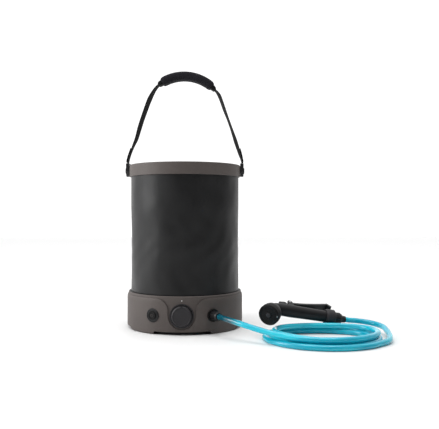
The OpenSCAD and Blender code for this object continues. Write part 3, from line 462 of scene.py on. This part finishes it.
seal_rubber = dull_rubber("seal_rubber", rgb(22, 22, 23), rgb(44, 43, 42))
steel = drawn_metal("drawn_steel", rgb(190, 190, 192), rgb(150, 150, 154), (900.0, 900.0, 40.0))
brass = drawn_metal("plated_brass", rgb(214, 178, 98), rgb(180, 140, 70), (300.0, 300.0, 300.0))
give(seal_rubber, "deck_gasket", "shaft_seal", "outlet_seal", "valve_seal")
give(steel, "cover_screws", "pump_shaft", "motor", "lever_pin", "valve_stem")
give(brass, "contact_block")
give(shrink_wrap("cell_wrap"), "battery_cells")
give(printed_board("solder_mask"), "circuit_board")
print("inner finishes done")

# %% [markdown]
# ## Tinted vinyl
# The hose is clear vinyl with a cyan tint. A glass shader would show the ground through it too plainly, so
# the finish is a tinted surface that lets a share of the light through and scatters another share inside,
# under a glossy coat. Near the outlet the dark base shows through the hose, and painted shade, a darker
# tint towards the outlet, stands for that.

# %% Hose finish
shade_depth = 0.045
shade_fade = 1.9 * shade_depth
shade_share = 0.92


def tinted_vinyl(name):
    """A cyan tint that drifts along the tube, with painted shade near the outlet, where the base shows
    through it.
    """
    finish = Finish(name)
    uv = finish.surface_uv()
    drift = finish.noise(finish.stretch(uv, (6.0, 40.0, 1.0)), 1.0, 2.0)
    die_line = finish.noise(finish.stretch(uv, (3.0, 900.0, 1.0)), 1.0, 2.0)
    colour = finish.mix(finish.band(drift, 0.3, 0.7), rgb(0, 176, 204), rgb(40, 224, 242))
    along = finish.parts_of(uv)[0]
    # Painted shade: the tint darkens towards the outlet end of the hose.
    shade = finish.band(along, shade_depth, shade_fade, shade_share, 0.0)
    colour = finish.mix(shade, colour, rgb(0, 66, 84))
    rough = 0.1 + 0.14 * drift + 0.08 * die_line
    return finish.surface(colour, rough, die_line, 0.00006, 0.35, Transmission_Weight=0.25, IOR=1.45,
                          Subsurface_Weight=0.3, Subsurface_Radius=(0.2, 0.8, 1.0), Subsurface_Scale=0.004,
                          Specular_IOR_Level=0.4, Coat_Weight=0.4, Coat_Roughness=0.05)


hose.data.materials.append(tinted_vinyl("tinted_vinyl"))
print("hose finish done")

# %% [markdown]
# ## Sections carried along a path
# A strap, a sleeve and a padded grip are all one idea: a closed outline that is carried along a line. Two
# vectors at each point say which way the outline's width and height lie, and the outline may change.

# %% Sweep helper
def sweep(name, path, side, up, section):
    """At each path point the outline's first number runs along side and its second along up."""
    section = np.broadcast_to(section, (len(path), *np.shape(section)[-2:]))
    grid = path[:, None] + section[..., :1] * side[:, None] + section[..., 1:] * up[:, None]
    middle = section[len(path) // 2]
    around = steps_along(np.concatenate([middle, middle[:1]]))
    return grid_piece(name, grid, steps_along(path), around)


def soft_rectangle(width, height, power, count):
    """A superellipse: |x / a| and |y / b|, each to the power, add up to 1. A high power squares it off."""
    turn = np.linspace(0, 2 * np.pi, count, endpoint=False)
    x = np.sign(np.cos(turn)) * np.abs(np.cos(turn)) ** (2 / power)
    y = np.sign(np.sin(turn)) * np.abs(np.sin(turn)) ** (2 / power)
    return np.stack([x * width / 2, y * height / 2], axis=1)

# %% [markdown]
# ## The fabric wall
# The bucket's wall is one strip of coated polyester, welded into a tube and clamped in the base and the rim.
# The clamped edges are true circles, and between them the cloth is a little slack, so the wall is a cylinder
# whose radius wanders by about two millimetres. The slack ends well below the rim, so that the rim's clamp
# meets none of it on its way down. A welded lap runs up the back. When the rim comes down the real cloth
# folds; the script only works out the share of the wall's height that stays.

# %% Fabric wall
wall_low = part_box("reservoir_wall")[0][2]
wall_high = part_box("reservoir_wall")[1][2]
wall_height = wall_high - wall_low
wall_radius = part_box("reservoir_wall")[1][0]
wall_columns, wall_rows = 288, 40
cloth_thickness = 0.0012
lap_width = 0.016
lap_height = 0.0006
lap_edge = 0.001
slack_share = 0.7
slack_size = 0.00035
dent_size = 0.00045
mean_inset = 0.00105


def wall_radius_at(turn, share):
    """Radius at an angle and a share of the height. The slack dies out at the base and below the rim."""
    free = np.sin(np.pi * np.clip(share / slack_share, 0, 1)) ** 0.7
    slack = np.sin(5 * turn + 2.4 * share) + 0.7 * np.sin(9 * turn - 3.1 * share + 1.0)
    slack = slack + 0.5 * np.sin(2 * turn + 7.0 * share)
    dent = np.sin(11 * turn + 3 * np.sin(9 * share)) * np.sin(19 * share + 2 * np.sin(4 * turn))
    from_back = np.angle(np.exp(1j * (turn - np.pi / 2))) * wall_radius
    lap = np.clip((lap_width / 2 - np.abs(from_back)) / lap_edge, 0, 1)
    return wall_radius + free * (slack_size * slack + dent_size * dent + lap_height * lap - mean_inset)


def fabric_wall():
    """Rows go up the outside and down the inside, so that the cloth has its thickness."""
    turn = np.linspace(0, 2 * np.pi, wall_columns, endpoint=False)
    rise = np.linspace(0, 1, wall_rows)
    share = np.concatenate([rise, rise[::-1]])[:, None]
    inset = np.repeat([0, cloth_thickness], len(rise))[:, None]
    radius = wall_radius_at(turn[None], share) - inset
    z = np.broadcast_to(wall_low + wall_height * share, radius.shape)
    grid = np.stack([radius * np.cos(turn), radius * np.sin(turn), z], axis=-1)
    along = np.concatenate([rise, 2 - rise[::-1], [2]]) * wall_height
    around = np.linspace(0, 2 * np.pi * wall_radius, wall_columns + 1)
    grid = np.concatenate([grid, grid[:1]])
    return grid_piece("fabric_wall", grid, along, around, caps=False)


def merge_seam(piece):
    """Joins points that lie on each other, so that a loop of rows is closed."""
    bpy.context.view_layer.objects.active = piece
    weld = piece.modifiers.new("closed_seam", "WELD")
    weld.merge_threshold = 1e-6
    with bpy.context.temp_override(object=piece, active_object=piece, selected_objects=[piece]):
        bpy.ops.object.modifier_apply(modifier=weld.name)


wall = fabric_wall()
merge_seam(wall)
joints = frame["record"]["behaviour"]["joints"]
rim_drop = next(joint for joint in joints if joint["name"] == "rim_collapse")
drop_most = rim_drop["range_m"][1]
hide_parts("reservoir_wall")
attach(wall, "root")

# %% [markdown]
# ## Coated cloth
# The cloth is a plain weave under a satin coating. The coating fills the weave but doesn't hide it, so the
# relief is two crossed waves, softened, and the tone drifts slowly where the coating is thicker. A slow swell
# in the relief makes the sheen blotchy up to the rim, above the dents that are in the mesh.

# %% Cloth finishes
cloth_pitch = 0.0022
crease_share, swell_share = 3.0, 90.0


def woven(finish, uv, along_pitch, across_pitch):
    """A plain weave between 0 and 1: the product of two waves, one along the cloth and one across it."""
    u, v, _ = finish.parts_of(uv)
    along = finish.math("SINE", u * (2 * math.pi / along_pitch))
    across = finish.math("SINE", v * (2 * math.pi / across_pitch))
    return 0.5 + 0.5 * (along * across)


def coated_cloth(name):
    finish = Finish(name)
    uv = finish.surface_uv()
    weave = woven(finish, uv, cloth_pitch, cloth_pitch)
    drift = finish.noise(uv, 9.0, 4.0, 0.55)
    crease = finish.noise(finish.stretch(uv, (5.0, 38.0, 1.0)), 1.0, 4.0, 0.6)
    colour = finish.mix(finish.band(drift, 0.3, 0.75), rgb(11, 11, 12), rgb(19, 19, 20))
    colour = finish.mix(0.25 * weave, colour, rgb(26, 26, 28))
    rough = 0.27 + 0.22 * drift + 0.06 * weave
    swell = finish.noise(finish.stretch(uv, (11.0, 15.0, 1.0)), 1.0, 1.0, 0.4)
    height = weave + crease_share * crease + swell_share * swell
    return finish.surface(colour, rough, height, 0.00012, 0.5, Specular_IOR_Level=0.3)


wall.data.materials.append(coated_cloth("coated_cloth"))
keep_share = (wall_height - drop_most) / wall_height
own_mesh(wall)
print("wall keeps", round(keep_share, 3), "of its height")

# %% [markdown]
# ## The carry strap
# One length of webbing runs from a fitting, through the padded grip and down to the other fitting. Each leg
# turns a little on its way, as a strap does when it is let go. Near each fitting the end is turned back and
# sewn down with a box of stitches. The route repeats the CAD's, and the section is a squared superellipse.

# %% Strap route
pivot_z = 0.386
fitting_x = 0.1424
strap_width = 0.025
strap_thickness = 0.0024
strap_power, strap_sides = 7, 28
slot_rise = 0.0124
strap_start = pivot_z + slot_rise
left_leg = np.array([[0, 0, 0], [0, 5, 0], [4, 11.5, 0], [11, 19, 0], [17.5, 25.5, -4], [27, 34, -10],
                     [36, 46, -14], [45.5, 57.5, -14], [57.5, 70.5, -15], [69, 82, -16], [84.5, 93, -7]])
right_leg = np.array([[0, 0, 0], [0, 5, 0], [3, 10, -4], [9.5, 17.5, -11], [22.5, 32, -15], [38.5, 49, -8],
                      [51, 61.5, -7], [64.5, 74.5, -12], [82, 91.5, -13]])
grip_centre = np.array([-0.0023, 0, 0.518])
grip_bend = 0.105
grip_left, grip_right = -32, 42
core_reach = 5.5


def grip_arc(first, last, count):
    """Points of the grip's arc, by degrees off the vertical."""
    turn = np.radians(np.linspace(first, last, count))
    return grip_centre + grip_bend * np.stack([np.sin(turn), 0 * turn, np.cos(turn)], axis=1)


def leg_route(leg, side, grip_end):
    """A leg's points: percent of the way from the fitting's slot in to the grip's end, and up to it."""
    start = np.array([side * fitting_x, 0, strap_start])
    return start + (grip_end - start) * np.stack([leg[:, 0], 0 * leg[:, 0], leg[:, 1]], axis=1) / 100


arc_points = grip_arc(grip_left - core_reach + 1, grip_right + core_reach - 1, 15)
left_route = leg_route(left_leg, -1, arc_points[0])
right_route = leg_route(right_leg, 1, arc_points[-1])
strap_points = np.concatenate([left_route, arc_points, right_route[::-1]])
strap_turns = np.radians(np.concatenate([left_leg[:, 2], np.zeros(len(arc_points)), right_leg[::-1, 2]]))
strap_steps = 6
strap_path = spline(strap_points, strap_steps)
dense = np.arange(len(strap_path)) / strap_steps
strap_turn = np.interp(dense, np.arange(len(strap_points)), strap_turns)
strap_way = headings(strap_path)
level = np.array([0.0, 1.0, 0.0])
flat_out = np.cross(strap_way, level)
strap_side = np.cos(strap_turn)[:, None] * level + np.sin(strap_turn)[:, None] * flat_out
strap_up = np.cross(strap_way, strap_side)
print("strap length", round(steps_along(strap_path)[-1], 3))

# %% Strap, turned-back ends and stitches
turned_low, turned_high = pivot_z + 0.0195, pivot_z + 0.056
turned_inset = 0.0006
stitch_pitch, stitch_margin, stitch_lift = 0.0031, 0.006, 0.0001
bead_half_sizes = 0.00125, 0.0004, 0.00035
bead_rings = bead_sides = 6
strap_section = soft_rectangle(strap_width, strap_thickness, strap_power, strap_sides)
turned_section = soft_rectangle(strap_width - turned_inset, strap_thickness, strap_power, strap_sides)
turned_section = turned_section + [0, strap_thickness]
strap = sweep("strap_webbing", strap_path, strap_side, strap_up, strap_section)
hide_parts("strap")
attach(strap, "handle")


def turned_rows(side):
    """Numbers of the strap's points that lie under the turned-back end on one side."""
    beside = side * strap_path[:, 0] > 0
    return np.flatnonzero(beside & (strap_path[:, 2] > turned_low) & (strap_path[:, 2] < turned_high))


def stitch_pattern(long, wide):
    """Middle and angle of each stitch of a box with a cross in it, by distance along and across."""
    corners = np.array([[0, 0], [long, 0], [long, wide], [0, wide]]) - [long / 2, wide / 2]
    lines = [(0, 1), (1, 2), (2, 3), (3, 0), (0, 2), (1, 3)]
    runs = [corners[b] - corners[a] for a, b in lines]
    counts = [max(3, round(np.linalg.norm(run) / stitch_pitch)) for run in runs]
    middles = [corners[a] + (np.arange(n)[:, None] + 0.5) / n * run
               for (a, _), run, n in zip(lines, runs, counts)]
    angles = [np.full(n, np.arctan2(run[1], run[0])) for run, n in zip(runs, counts)]
    return np.concatenate(middles), np.concatenate(angles)


def bead():
    """A stitch: a short ellipsoid, long along its first axis."""
    long, wide, high = bead_half_sizes
    rise = np.linspace(-1, 1, bead_rings)
    turn = np.linspace(0, 2 * np.pi, bead_sides, endpoint=False)
    ring = np.sqrt(np.clip(1 - rise**2, 0.02, 1))[:, None]
    x = np.broadcast_to(long * rise[:, None], (bead_rings, bead_sides))
    return np.stack([x, wide * ring * np.cos(turn), high * ring * np.sin(turn)], axis=-1).reshape(-1, 3)


def stitches(name, rows):
    """Beads along a box and a cross, laid on the turned-back end."""
    path, side, up = strap_path[rows], strap_side[rows], strap_up[rows]
    run = steps_along(path)
    middles, angles = stitch_pattern(run[-1] - stitch_margin, strap_width - stitch_margin)
    at = run[-1] / 2 + middles[:, 0]
    origin, across, out, ahead = (np.stack([np.interp(at, run, array[:, k]) for k in range(3)], axis=1)
                                  for array in (path, side, up, headings(path)))
    lift = 1.5 * strap_thickness + stitch_lift
    centre = origin + middles[:, 1:] * across + lift * out
    long = np.cos(angles)[:, None] * ahead + np.sin(angles)[:, None] * across
    wide = np.cos(angles)[:, None] * across - np.sin(angles)[:, None] * ahead
    shape = bead()
    points = centre[:, None] + shape[:, :1] * long[:, None] + shape[:, 1:2] * wide[:, None]
    points = points + shape[:, 2:] * out[:, None]
    quads = grid_faces(bead_rings, bead_sides)
    corners = list(range(len(shape)))
    faces = quads.tolist() + [corners[:bead_sides][::-1], corners[-bead_sides:]]
    if signed_volume(points[0], quads) < 0:
        faces = [face[::-1] for face in faces]
    every = [[corner + len(shape) * k for corner in face] for k in range(len(centre)) for face in faces]
    return mesh_piece(name, points.reshape(-1, 3), every)


turned_ends = []
for side_name, side_sign in (("left", -1), ("right", 1)):
    rows = turned_rows(side_sign)
    turned_lines = strap_path[rows], strap_side[rows], strap_up[rows]
    turned = sweep(f"turned_end_{side_name}", *turned_lines, turned_section)
    sewn = stitches(f"stitches_{side_name}", rows)
    for piece in (turned, sewn):
        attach(piece, "handle")
    turned_ends += [turned, sewn]
print("turned-back ends", [piece.name for piece in turned_ends])

# %% [markdown]
# ## Webbing
# Strap webbing is a heavy weave with ribs across it. The ribs follow the strap, so the finish reads the UV
# map: the first number runs along the strap and the second round it.

# %% Webbing finish
def webbing_cloth(name, rib_pitch=0.0018, yarn_pitch=0.0030):
    finish = Finish(name)
    uv = finish.surface_uv()
    weave = woven(finish, uv, rib_pitch, yarn_pitch)
    fuzz = finish.noise(uv, 2400.0, 2.0)
    wear = finish.noise(uv, 30.0, 3.0)
    colour = finish.mix(0.35 * weave, rgb(6, 6, 7), rgb(15, 15, 16))
    colour = finish.mix(finish.band(wear, 0.5, 0.8, 0.0, 0.3), colour, rgb(22, 22, 24))
    rough = 0.72 + 0.15 * fuzz
    return finish.surface(colour, rough, weave + 0.3 * fuzz, 0.00016, 0.4, Specular_IOR_Level=0.2)


def thread_finish(name):
    finish = Finish(name)
    twist = finish.noise(finish.place(), 1600.0, 2.0)
    colour = finish.mix(twist, rgb(34, 34, 36), rgb(60, 60, 62))
    return finish.surface(colour, 0.6 + 0.2 * twist, twist, 0.0001, 0.5)


webbing = webbing_cloth("webbing_cloth")
thread = thread_finish("sewing_thread")
for piece in [strap] + turned_ends[::2]:
    piece.data.materials.append(webbing)
for piece in turned_ends[1::2]:
    piece.data.materials.append(thread)
print("webbing done")

# %% [markdown]
# ## The padded grip
# A sleeve of firm foam is wrapped round the webbing and closed by a seam on its underside. The foam swells in
# the middle, rounds over at both ends and is drawn in along the seam. A cloth simulation could puff it up,
# but the foam is firm and short, so a section that changes along an arc gives the same form with clean ends.

# %% Grip
wrap_width, wrap_height = 0.040, 0.023
core_width, core_height = 0.031, 0.0124
end_round = 0.010
seam_depth = 0.0012
seam_width = 0.35
sleeve_taper = 0.009
foam_power, core_power = 2.6, 4
foam_gap = 0.001
foam_swell = 0.05
ripple_size, ripple_rate = 0.006, 420
lip_width, lip_height = 0.86, 0.5


def grip_section(share_width, share_height, count=64):
    """A soft outline of the foam, drawn in where the seam runs along the underside."""
    outline = soft_rectangle(1.0, 1.0, foam_power, count)
    turn = np.arctan2(outline[:, 1], outline[:, 0])
    seam = np.exp(-((np.angle(np.exp(1j * (turn + np.pi / 2))) / seam_width) ** 2))
    outline = outline[None] * np.stack([share_width, share_height], axis=1)[:, None]
    drawn = np.stack([0 * seam, seam_depth * seam], axis=1)
    return outline + drawn[None]


def padded_grip():
    """Each end rounds over as a quarter ellipse, and the middle swells by a low sine."""
    path = grip_arc(grip_left, grip_right, 120)
    run = steps_along(path)
    from_end = np.minimum(run, run[-1] - run)
    rounding = np.sqrt(1 - (1 - np.clip(from_end / end_round, 0, 1)) ** 2)
    crown = np.sin(np.pi * run / run[-1])
    swell = 1 - foam_swell + foam_swell * crown
    ripple = 1 + ripple_size * np.sin(run * ripple_rate) * crown
    width = core_width + foam_gap + (wrap_width - core_width - foam_gap) * rounding * swell
    height = core_height + foam_gap + (wrap_height - core_height - foam_gap) * rounding * swell * ripple
    way = headings(path)
    side = np.broadcast_to(level, path.shape)
    return sweep("padded_grip", path, side, np.cross(way, side), grip_section(width, height))


def sleeve():
    """The inner sleeve that shows beyond each end of the foam and tapers to the strap."""
    path = grip_arc(grip_left - core_reach, grip_right + core_reach, 150)
    run = steps_along(path)
    from_end = np.minimum(run, run[-1] - run)
    taper = np.sqrt(1 - (1 - np.clip(from_end / sleeve_taper, 0, 1)) ** 2)
    lip = np.stack([lip_width + (1 - lip_width) * taper, lip_height + (1 - lip_height) * taper], axis=1)
    outline = soft_rectangle(core_width, core_height, core_power, 48)
    way = headings(path)
    side = np.broadcast_to(level, path.shape)
    return sweep("grip_sleeve", path, side, np.cross(way, side), outline[None] * lip[:, None])


grip = padded_grip()
grip_sleeve = sleeve()
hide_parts("grip_wrap")
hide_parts("grip_core")
for piece in (grip, grip_sleeve):
    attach(piece, "handle")

# %% Grip finishes
def foam_skin(name):
    """Dark foam under a knitted skin: small cells in the relief, and shine where hands have worn it."""
    finish = Finish(name)
    uv = finish.surface_uv()
    cells = finish.node("ShaderNodeTexVoronoi", None, {"Vector": uv, "Scale": 1500.0})
    wear = finish.noise(uv, 26.0, 4.0)
    colour = finish.mix(finish.band(cells, 0.1, 0.6), rgb(27, 26, 30), rgb(36, 35, 39))
    colour = finish.mix(finish.band(wear, 0.5, 0.8, 0.0, 0.4), colour, rgb(46, 45, 50))
    rough = 0.62 + 0.16 * cells - 0.1 * wear
    return finish.surface(colour, rough, 1.0 - cells, 0.00008, 0.25, Specular_IOR_Level=0.04)


grip.data.materials.append(foam_skin("foam_skin"))
grip_sleeve.data.materials.append(webbing)
print("grip finishes done")

# %% [markdown]
# ## Small marks
# The button carries a power symbol, a white dot above the battery shows how to line up its cap, and a pale
# tick on the spray face shows which pattern is chosen. Each is a shallow piece that sits on what carries it.

# %% Power symbol and dot
button_turn = math.radians(-28.5)
button_out = np.array([math.sin(button_turn), -math.cos(button_turn), 0])
button_across = np.array([math.cos(button_turn), math.sin(button_turn), 0])
base_radius, button_stand, button_dish = 0.143, 0.004, 0.0006
button_face = base_radius + button_stand - button_dish
upright = np.array([0.0, 0.0, 1.0])
symbol_radius, symbol_width, symbol_height = 0.0030, 0.0008, 0.0002
bar_low, bar_high = 0.0004, 0.0038
mark_power, mark_sides, mark_sink = 4, 12, 0.0004
symbol_section = soft_rectangle(symbol_width, 2 * symbol_height, mark_power, mark_sides)


def on_button(across, rise):
    """Points on the button's face, by distances across and up from its middle."""
    middle = button_face * button_out + [0, 0, control_z]
    return middle + across[:, None] * button_across + rise[:, None] * upright


def button_line(name, path):
    """A low raised line along a path on the button's face."""
    way = headings(path)
    out = np.broadcast_to(button_out, path.shape)
    return sweep(name, path, np.cross(out, way), out, symbol_section)


gap_turn = math.radians(32)
arc_turn = np.linspace(gap_turn, 2 * np.pi - gap_turn, 60)
arc_path = on_button(symbol_radius * np.sin(arc_turn), symbol_radius * np.cos(arc_turn))
symbol_arc = button_line("power_arc", arc_path)
bar_rise = np.linspace(bar_low, bar_high, 8)
symbol_bar = button_line("power_bar", on_button(0 * bar_rise, bar_rise))


def low_dome(name, middle, out, radius, height, sides=32, rings=6, closed=0.97):
    """A low round mark: rings that rise along out as they shrink, on a share closed of a quarter circle."""
    turn = np.linspace(0, 2 * np.pi, sides, endpoint=False)
    share = np.linspace(0, 1, rings)[:, None]
    reach = radius * np.cos(share * np.pi / 2 * closed)
    across = unit(np.cross(upright, out))
    rise = np.cross(out, across)
    ring = np.cos(turn)[None, :, None] * across + np.sin(turn)[None, :, None] * rise
    grid = middle + reach[..., None] * ring + (height * np.sin(share * np.pi / 2))[..., None] * out
    grid = np.concatenate([grid[:1] - mark_sink * out, grid])
    along = np.linspace(0, radius, rings + 1)
    return grid_piece(name, grid, along, np.linspace(0, 2 * np.pi * radius, sides + 1))


front = np.array([0.0, -1.0, 0.0])
dot_place = np.array([0, -0.14, 0.079])
dot_radius, dot_height = 0.0013, 0.0002
dot = low_dome("alignment_dot", dot_place, front, dot_radius, dot_height)

# %% Pattern tick
elbow_reach, head_tilt = 0.175, math.radians(53)
face_reach, tick_radius, tick_half_turn = 0.046, 0.021, math.radians(5)
tick_width, tick_height = 0.0013, 0.0003
lever_hint = np.array([-0.163, 0.915, 0.371])
spray_up = unit(lever_hint - (lever_hint @ spray_along) * spray_along)
face_out = math.cos(head_tilt) * spray_along - math.sin(head_tilt) * spray_up
face_middle = sprayer_tail + elbow_reach * spray_along + face_reach * face_out
face_right = unit(np.array([1.0, 0, 0]) - face_out[0] * face_out)
face_rise = np.cross(face_out, face_right)
tick_turn = np.linspace(-tick_half_turn, tick_half_turn, 12)[:, None]
tick_way = np.cos(tick_turn) * face_right + np.sin(tick_turn) * face_rise
tick_section = soft_rectangle(tick_width, tick_height, mark_power, mark_sides)
tick_out = np.broadcast_to(face_out, tick_way.shape)
tick = sweep("pattern_tick", face_middle + tick_radius * tick_way, tick_way, tick_out, tick_section)

# %% Mark finishes
def mark_finish(name, tone, worn):
    finish = Finish(name)
    rub = finish.noise(finish.place(), 900.0, 3.0)
    return finish.surface(finish.mix(finish.band(rub, 0.45, 0.7), tone, worn), 0.5 + 0.2 * rub)


pale_mark = mark_finish("pale_mark", rgb(205, 205, 203), rgb(170, 170, 168))
grey_mark = mark_finish("grey_mark", rgb(74, 68, 66), rgb(56, 52, 51))
for piece, body, slot, finish in ((symbol_arc, "button", "black_plastic", grey_mark),
                                  (symbol_bar, "button", "black_plastic", grey_mark),
                                  (tick, "dial", "black_plastic", pale_mark),
                                  (dot, "root", "base_plastic", pale_mark)):
    piece.data.materials.append(finish)
    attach(piece, body)
print("marks", symbol_arc.name, symbol_bar.name, tick.name, dot.name)

# %% [markdown]
# ## Floor and light
# The photograph has a white ground and soft light from all round, strongest from above on the left.
# A wide pale floor, a sky that is darker at the front and the right, and three large soft lights give the
# same gentle shading. The uneven sky is for the light it casts: seen directly, it is white on every side.

# %% Floor and light
floor_half = 6.0
white_from, white_to = 0.5, 1.1
sky_low, sky_high = -0.4, 0.95
sky_least, sky_most = 0.02, 1.2
floor_corners = np.array([[-1, -1, 0], [1, -1, 0], [1, 1, 0], [-1, 1, 0]]) * floor_half
floor = mesh_piece("floor", floor_corners, [[0, 1, 2, 3]], smooth=False)
floor_finish = Finish("pale_floor")
floor_place = floor_finish.place()
floor_cloud = floor_finish.noise(floor_place, 3.0, 2.0)
floor_x, floor_y, _ = floor_finish.parts_of(floor_place)
floor_reach = floor_finish.math("SQRT", floor_x * floor_x + floor_y * floor_y)
floor_tone = floor_finish.mix(floor_cloud, rgb(232, 232, 232), rgb(228, 228, 228))
floor_far = floor_finish.band(floor_reach, white_from, white_to)
floor_tone = floor_finish.mix(floor_far, floor_tone, rgb(255, 255, 255))
floor.data.materials.append(floor_finish.surface(floor_tone, 0.6))
world = bpy.data.worlds.new("soft_sky")
world.use_nodes = True
sky = Tree(world.node_tree)
sky_x, sky_y, sky_z = sky.parts_of(sky.node("ShaderNodeTexCoord", output="Generated"))
sky_height = sky_y + 1.3 * sky_z - 0.45 * sky_x
sky_range = {0: sky_height, 1: sky_low, 2: sky_high, 3: sky_least, 4: sky_most}
sky_light = sky.node("ShaderNodeMapRange", None, sky_range)
sky_seen = sky.node("ShaderNodeLightPath", output="Is Camera Ray")
sky_strength = sky.math("MAXIMUM", sky_light, sky_seen)
sky.fill(world.node_tree.nodes["Background"], {"Color": (1, 1, 1, 1), "Strength": sky_strength})
scene.world = world
scene.view_settings.view_transform = "Standard"


def soft_light(name, place, target, size, watts):
    """A square area light at place that faces target."""
    data = bpy.data.lights.new(name, "AREA")
    data.size = size
    data.energy = watts
    light = bpy.data.objects.new(name, data)
    way = Vector(target) - Vector(place)
    light.location = place
    light.rotation_euler = way.to_track_quat("-Z", "Y").to_euler()
    scene.collection.objects.link(light)
    return light


soft_light("key_light", (-1.9, -0.4, 0.9), (0.0, 0, 0.25), 1.0, 26)
soft_light("fill_light", (1.6, -1.5, 1.3), (0.1, 0, 0.2), 1.0, 2)
soft_light("top_light", (0.1, -0.3, 2.2), (0.1, -0.1, 0.0), 1.6, 22)
print("lights", [light.name for light in bpy.data.lights])
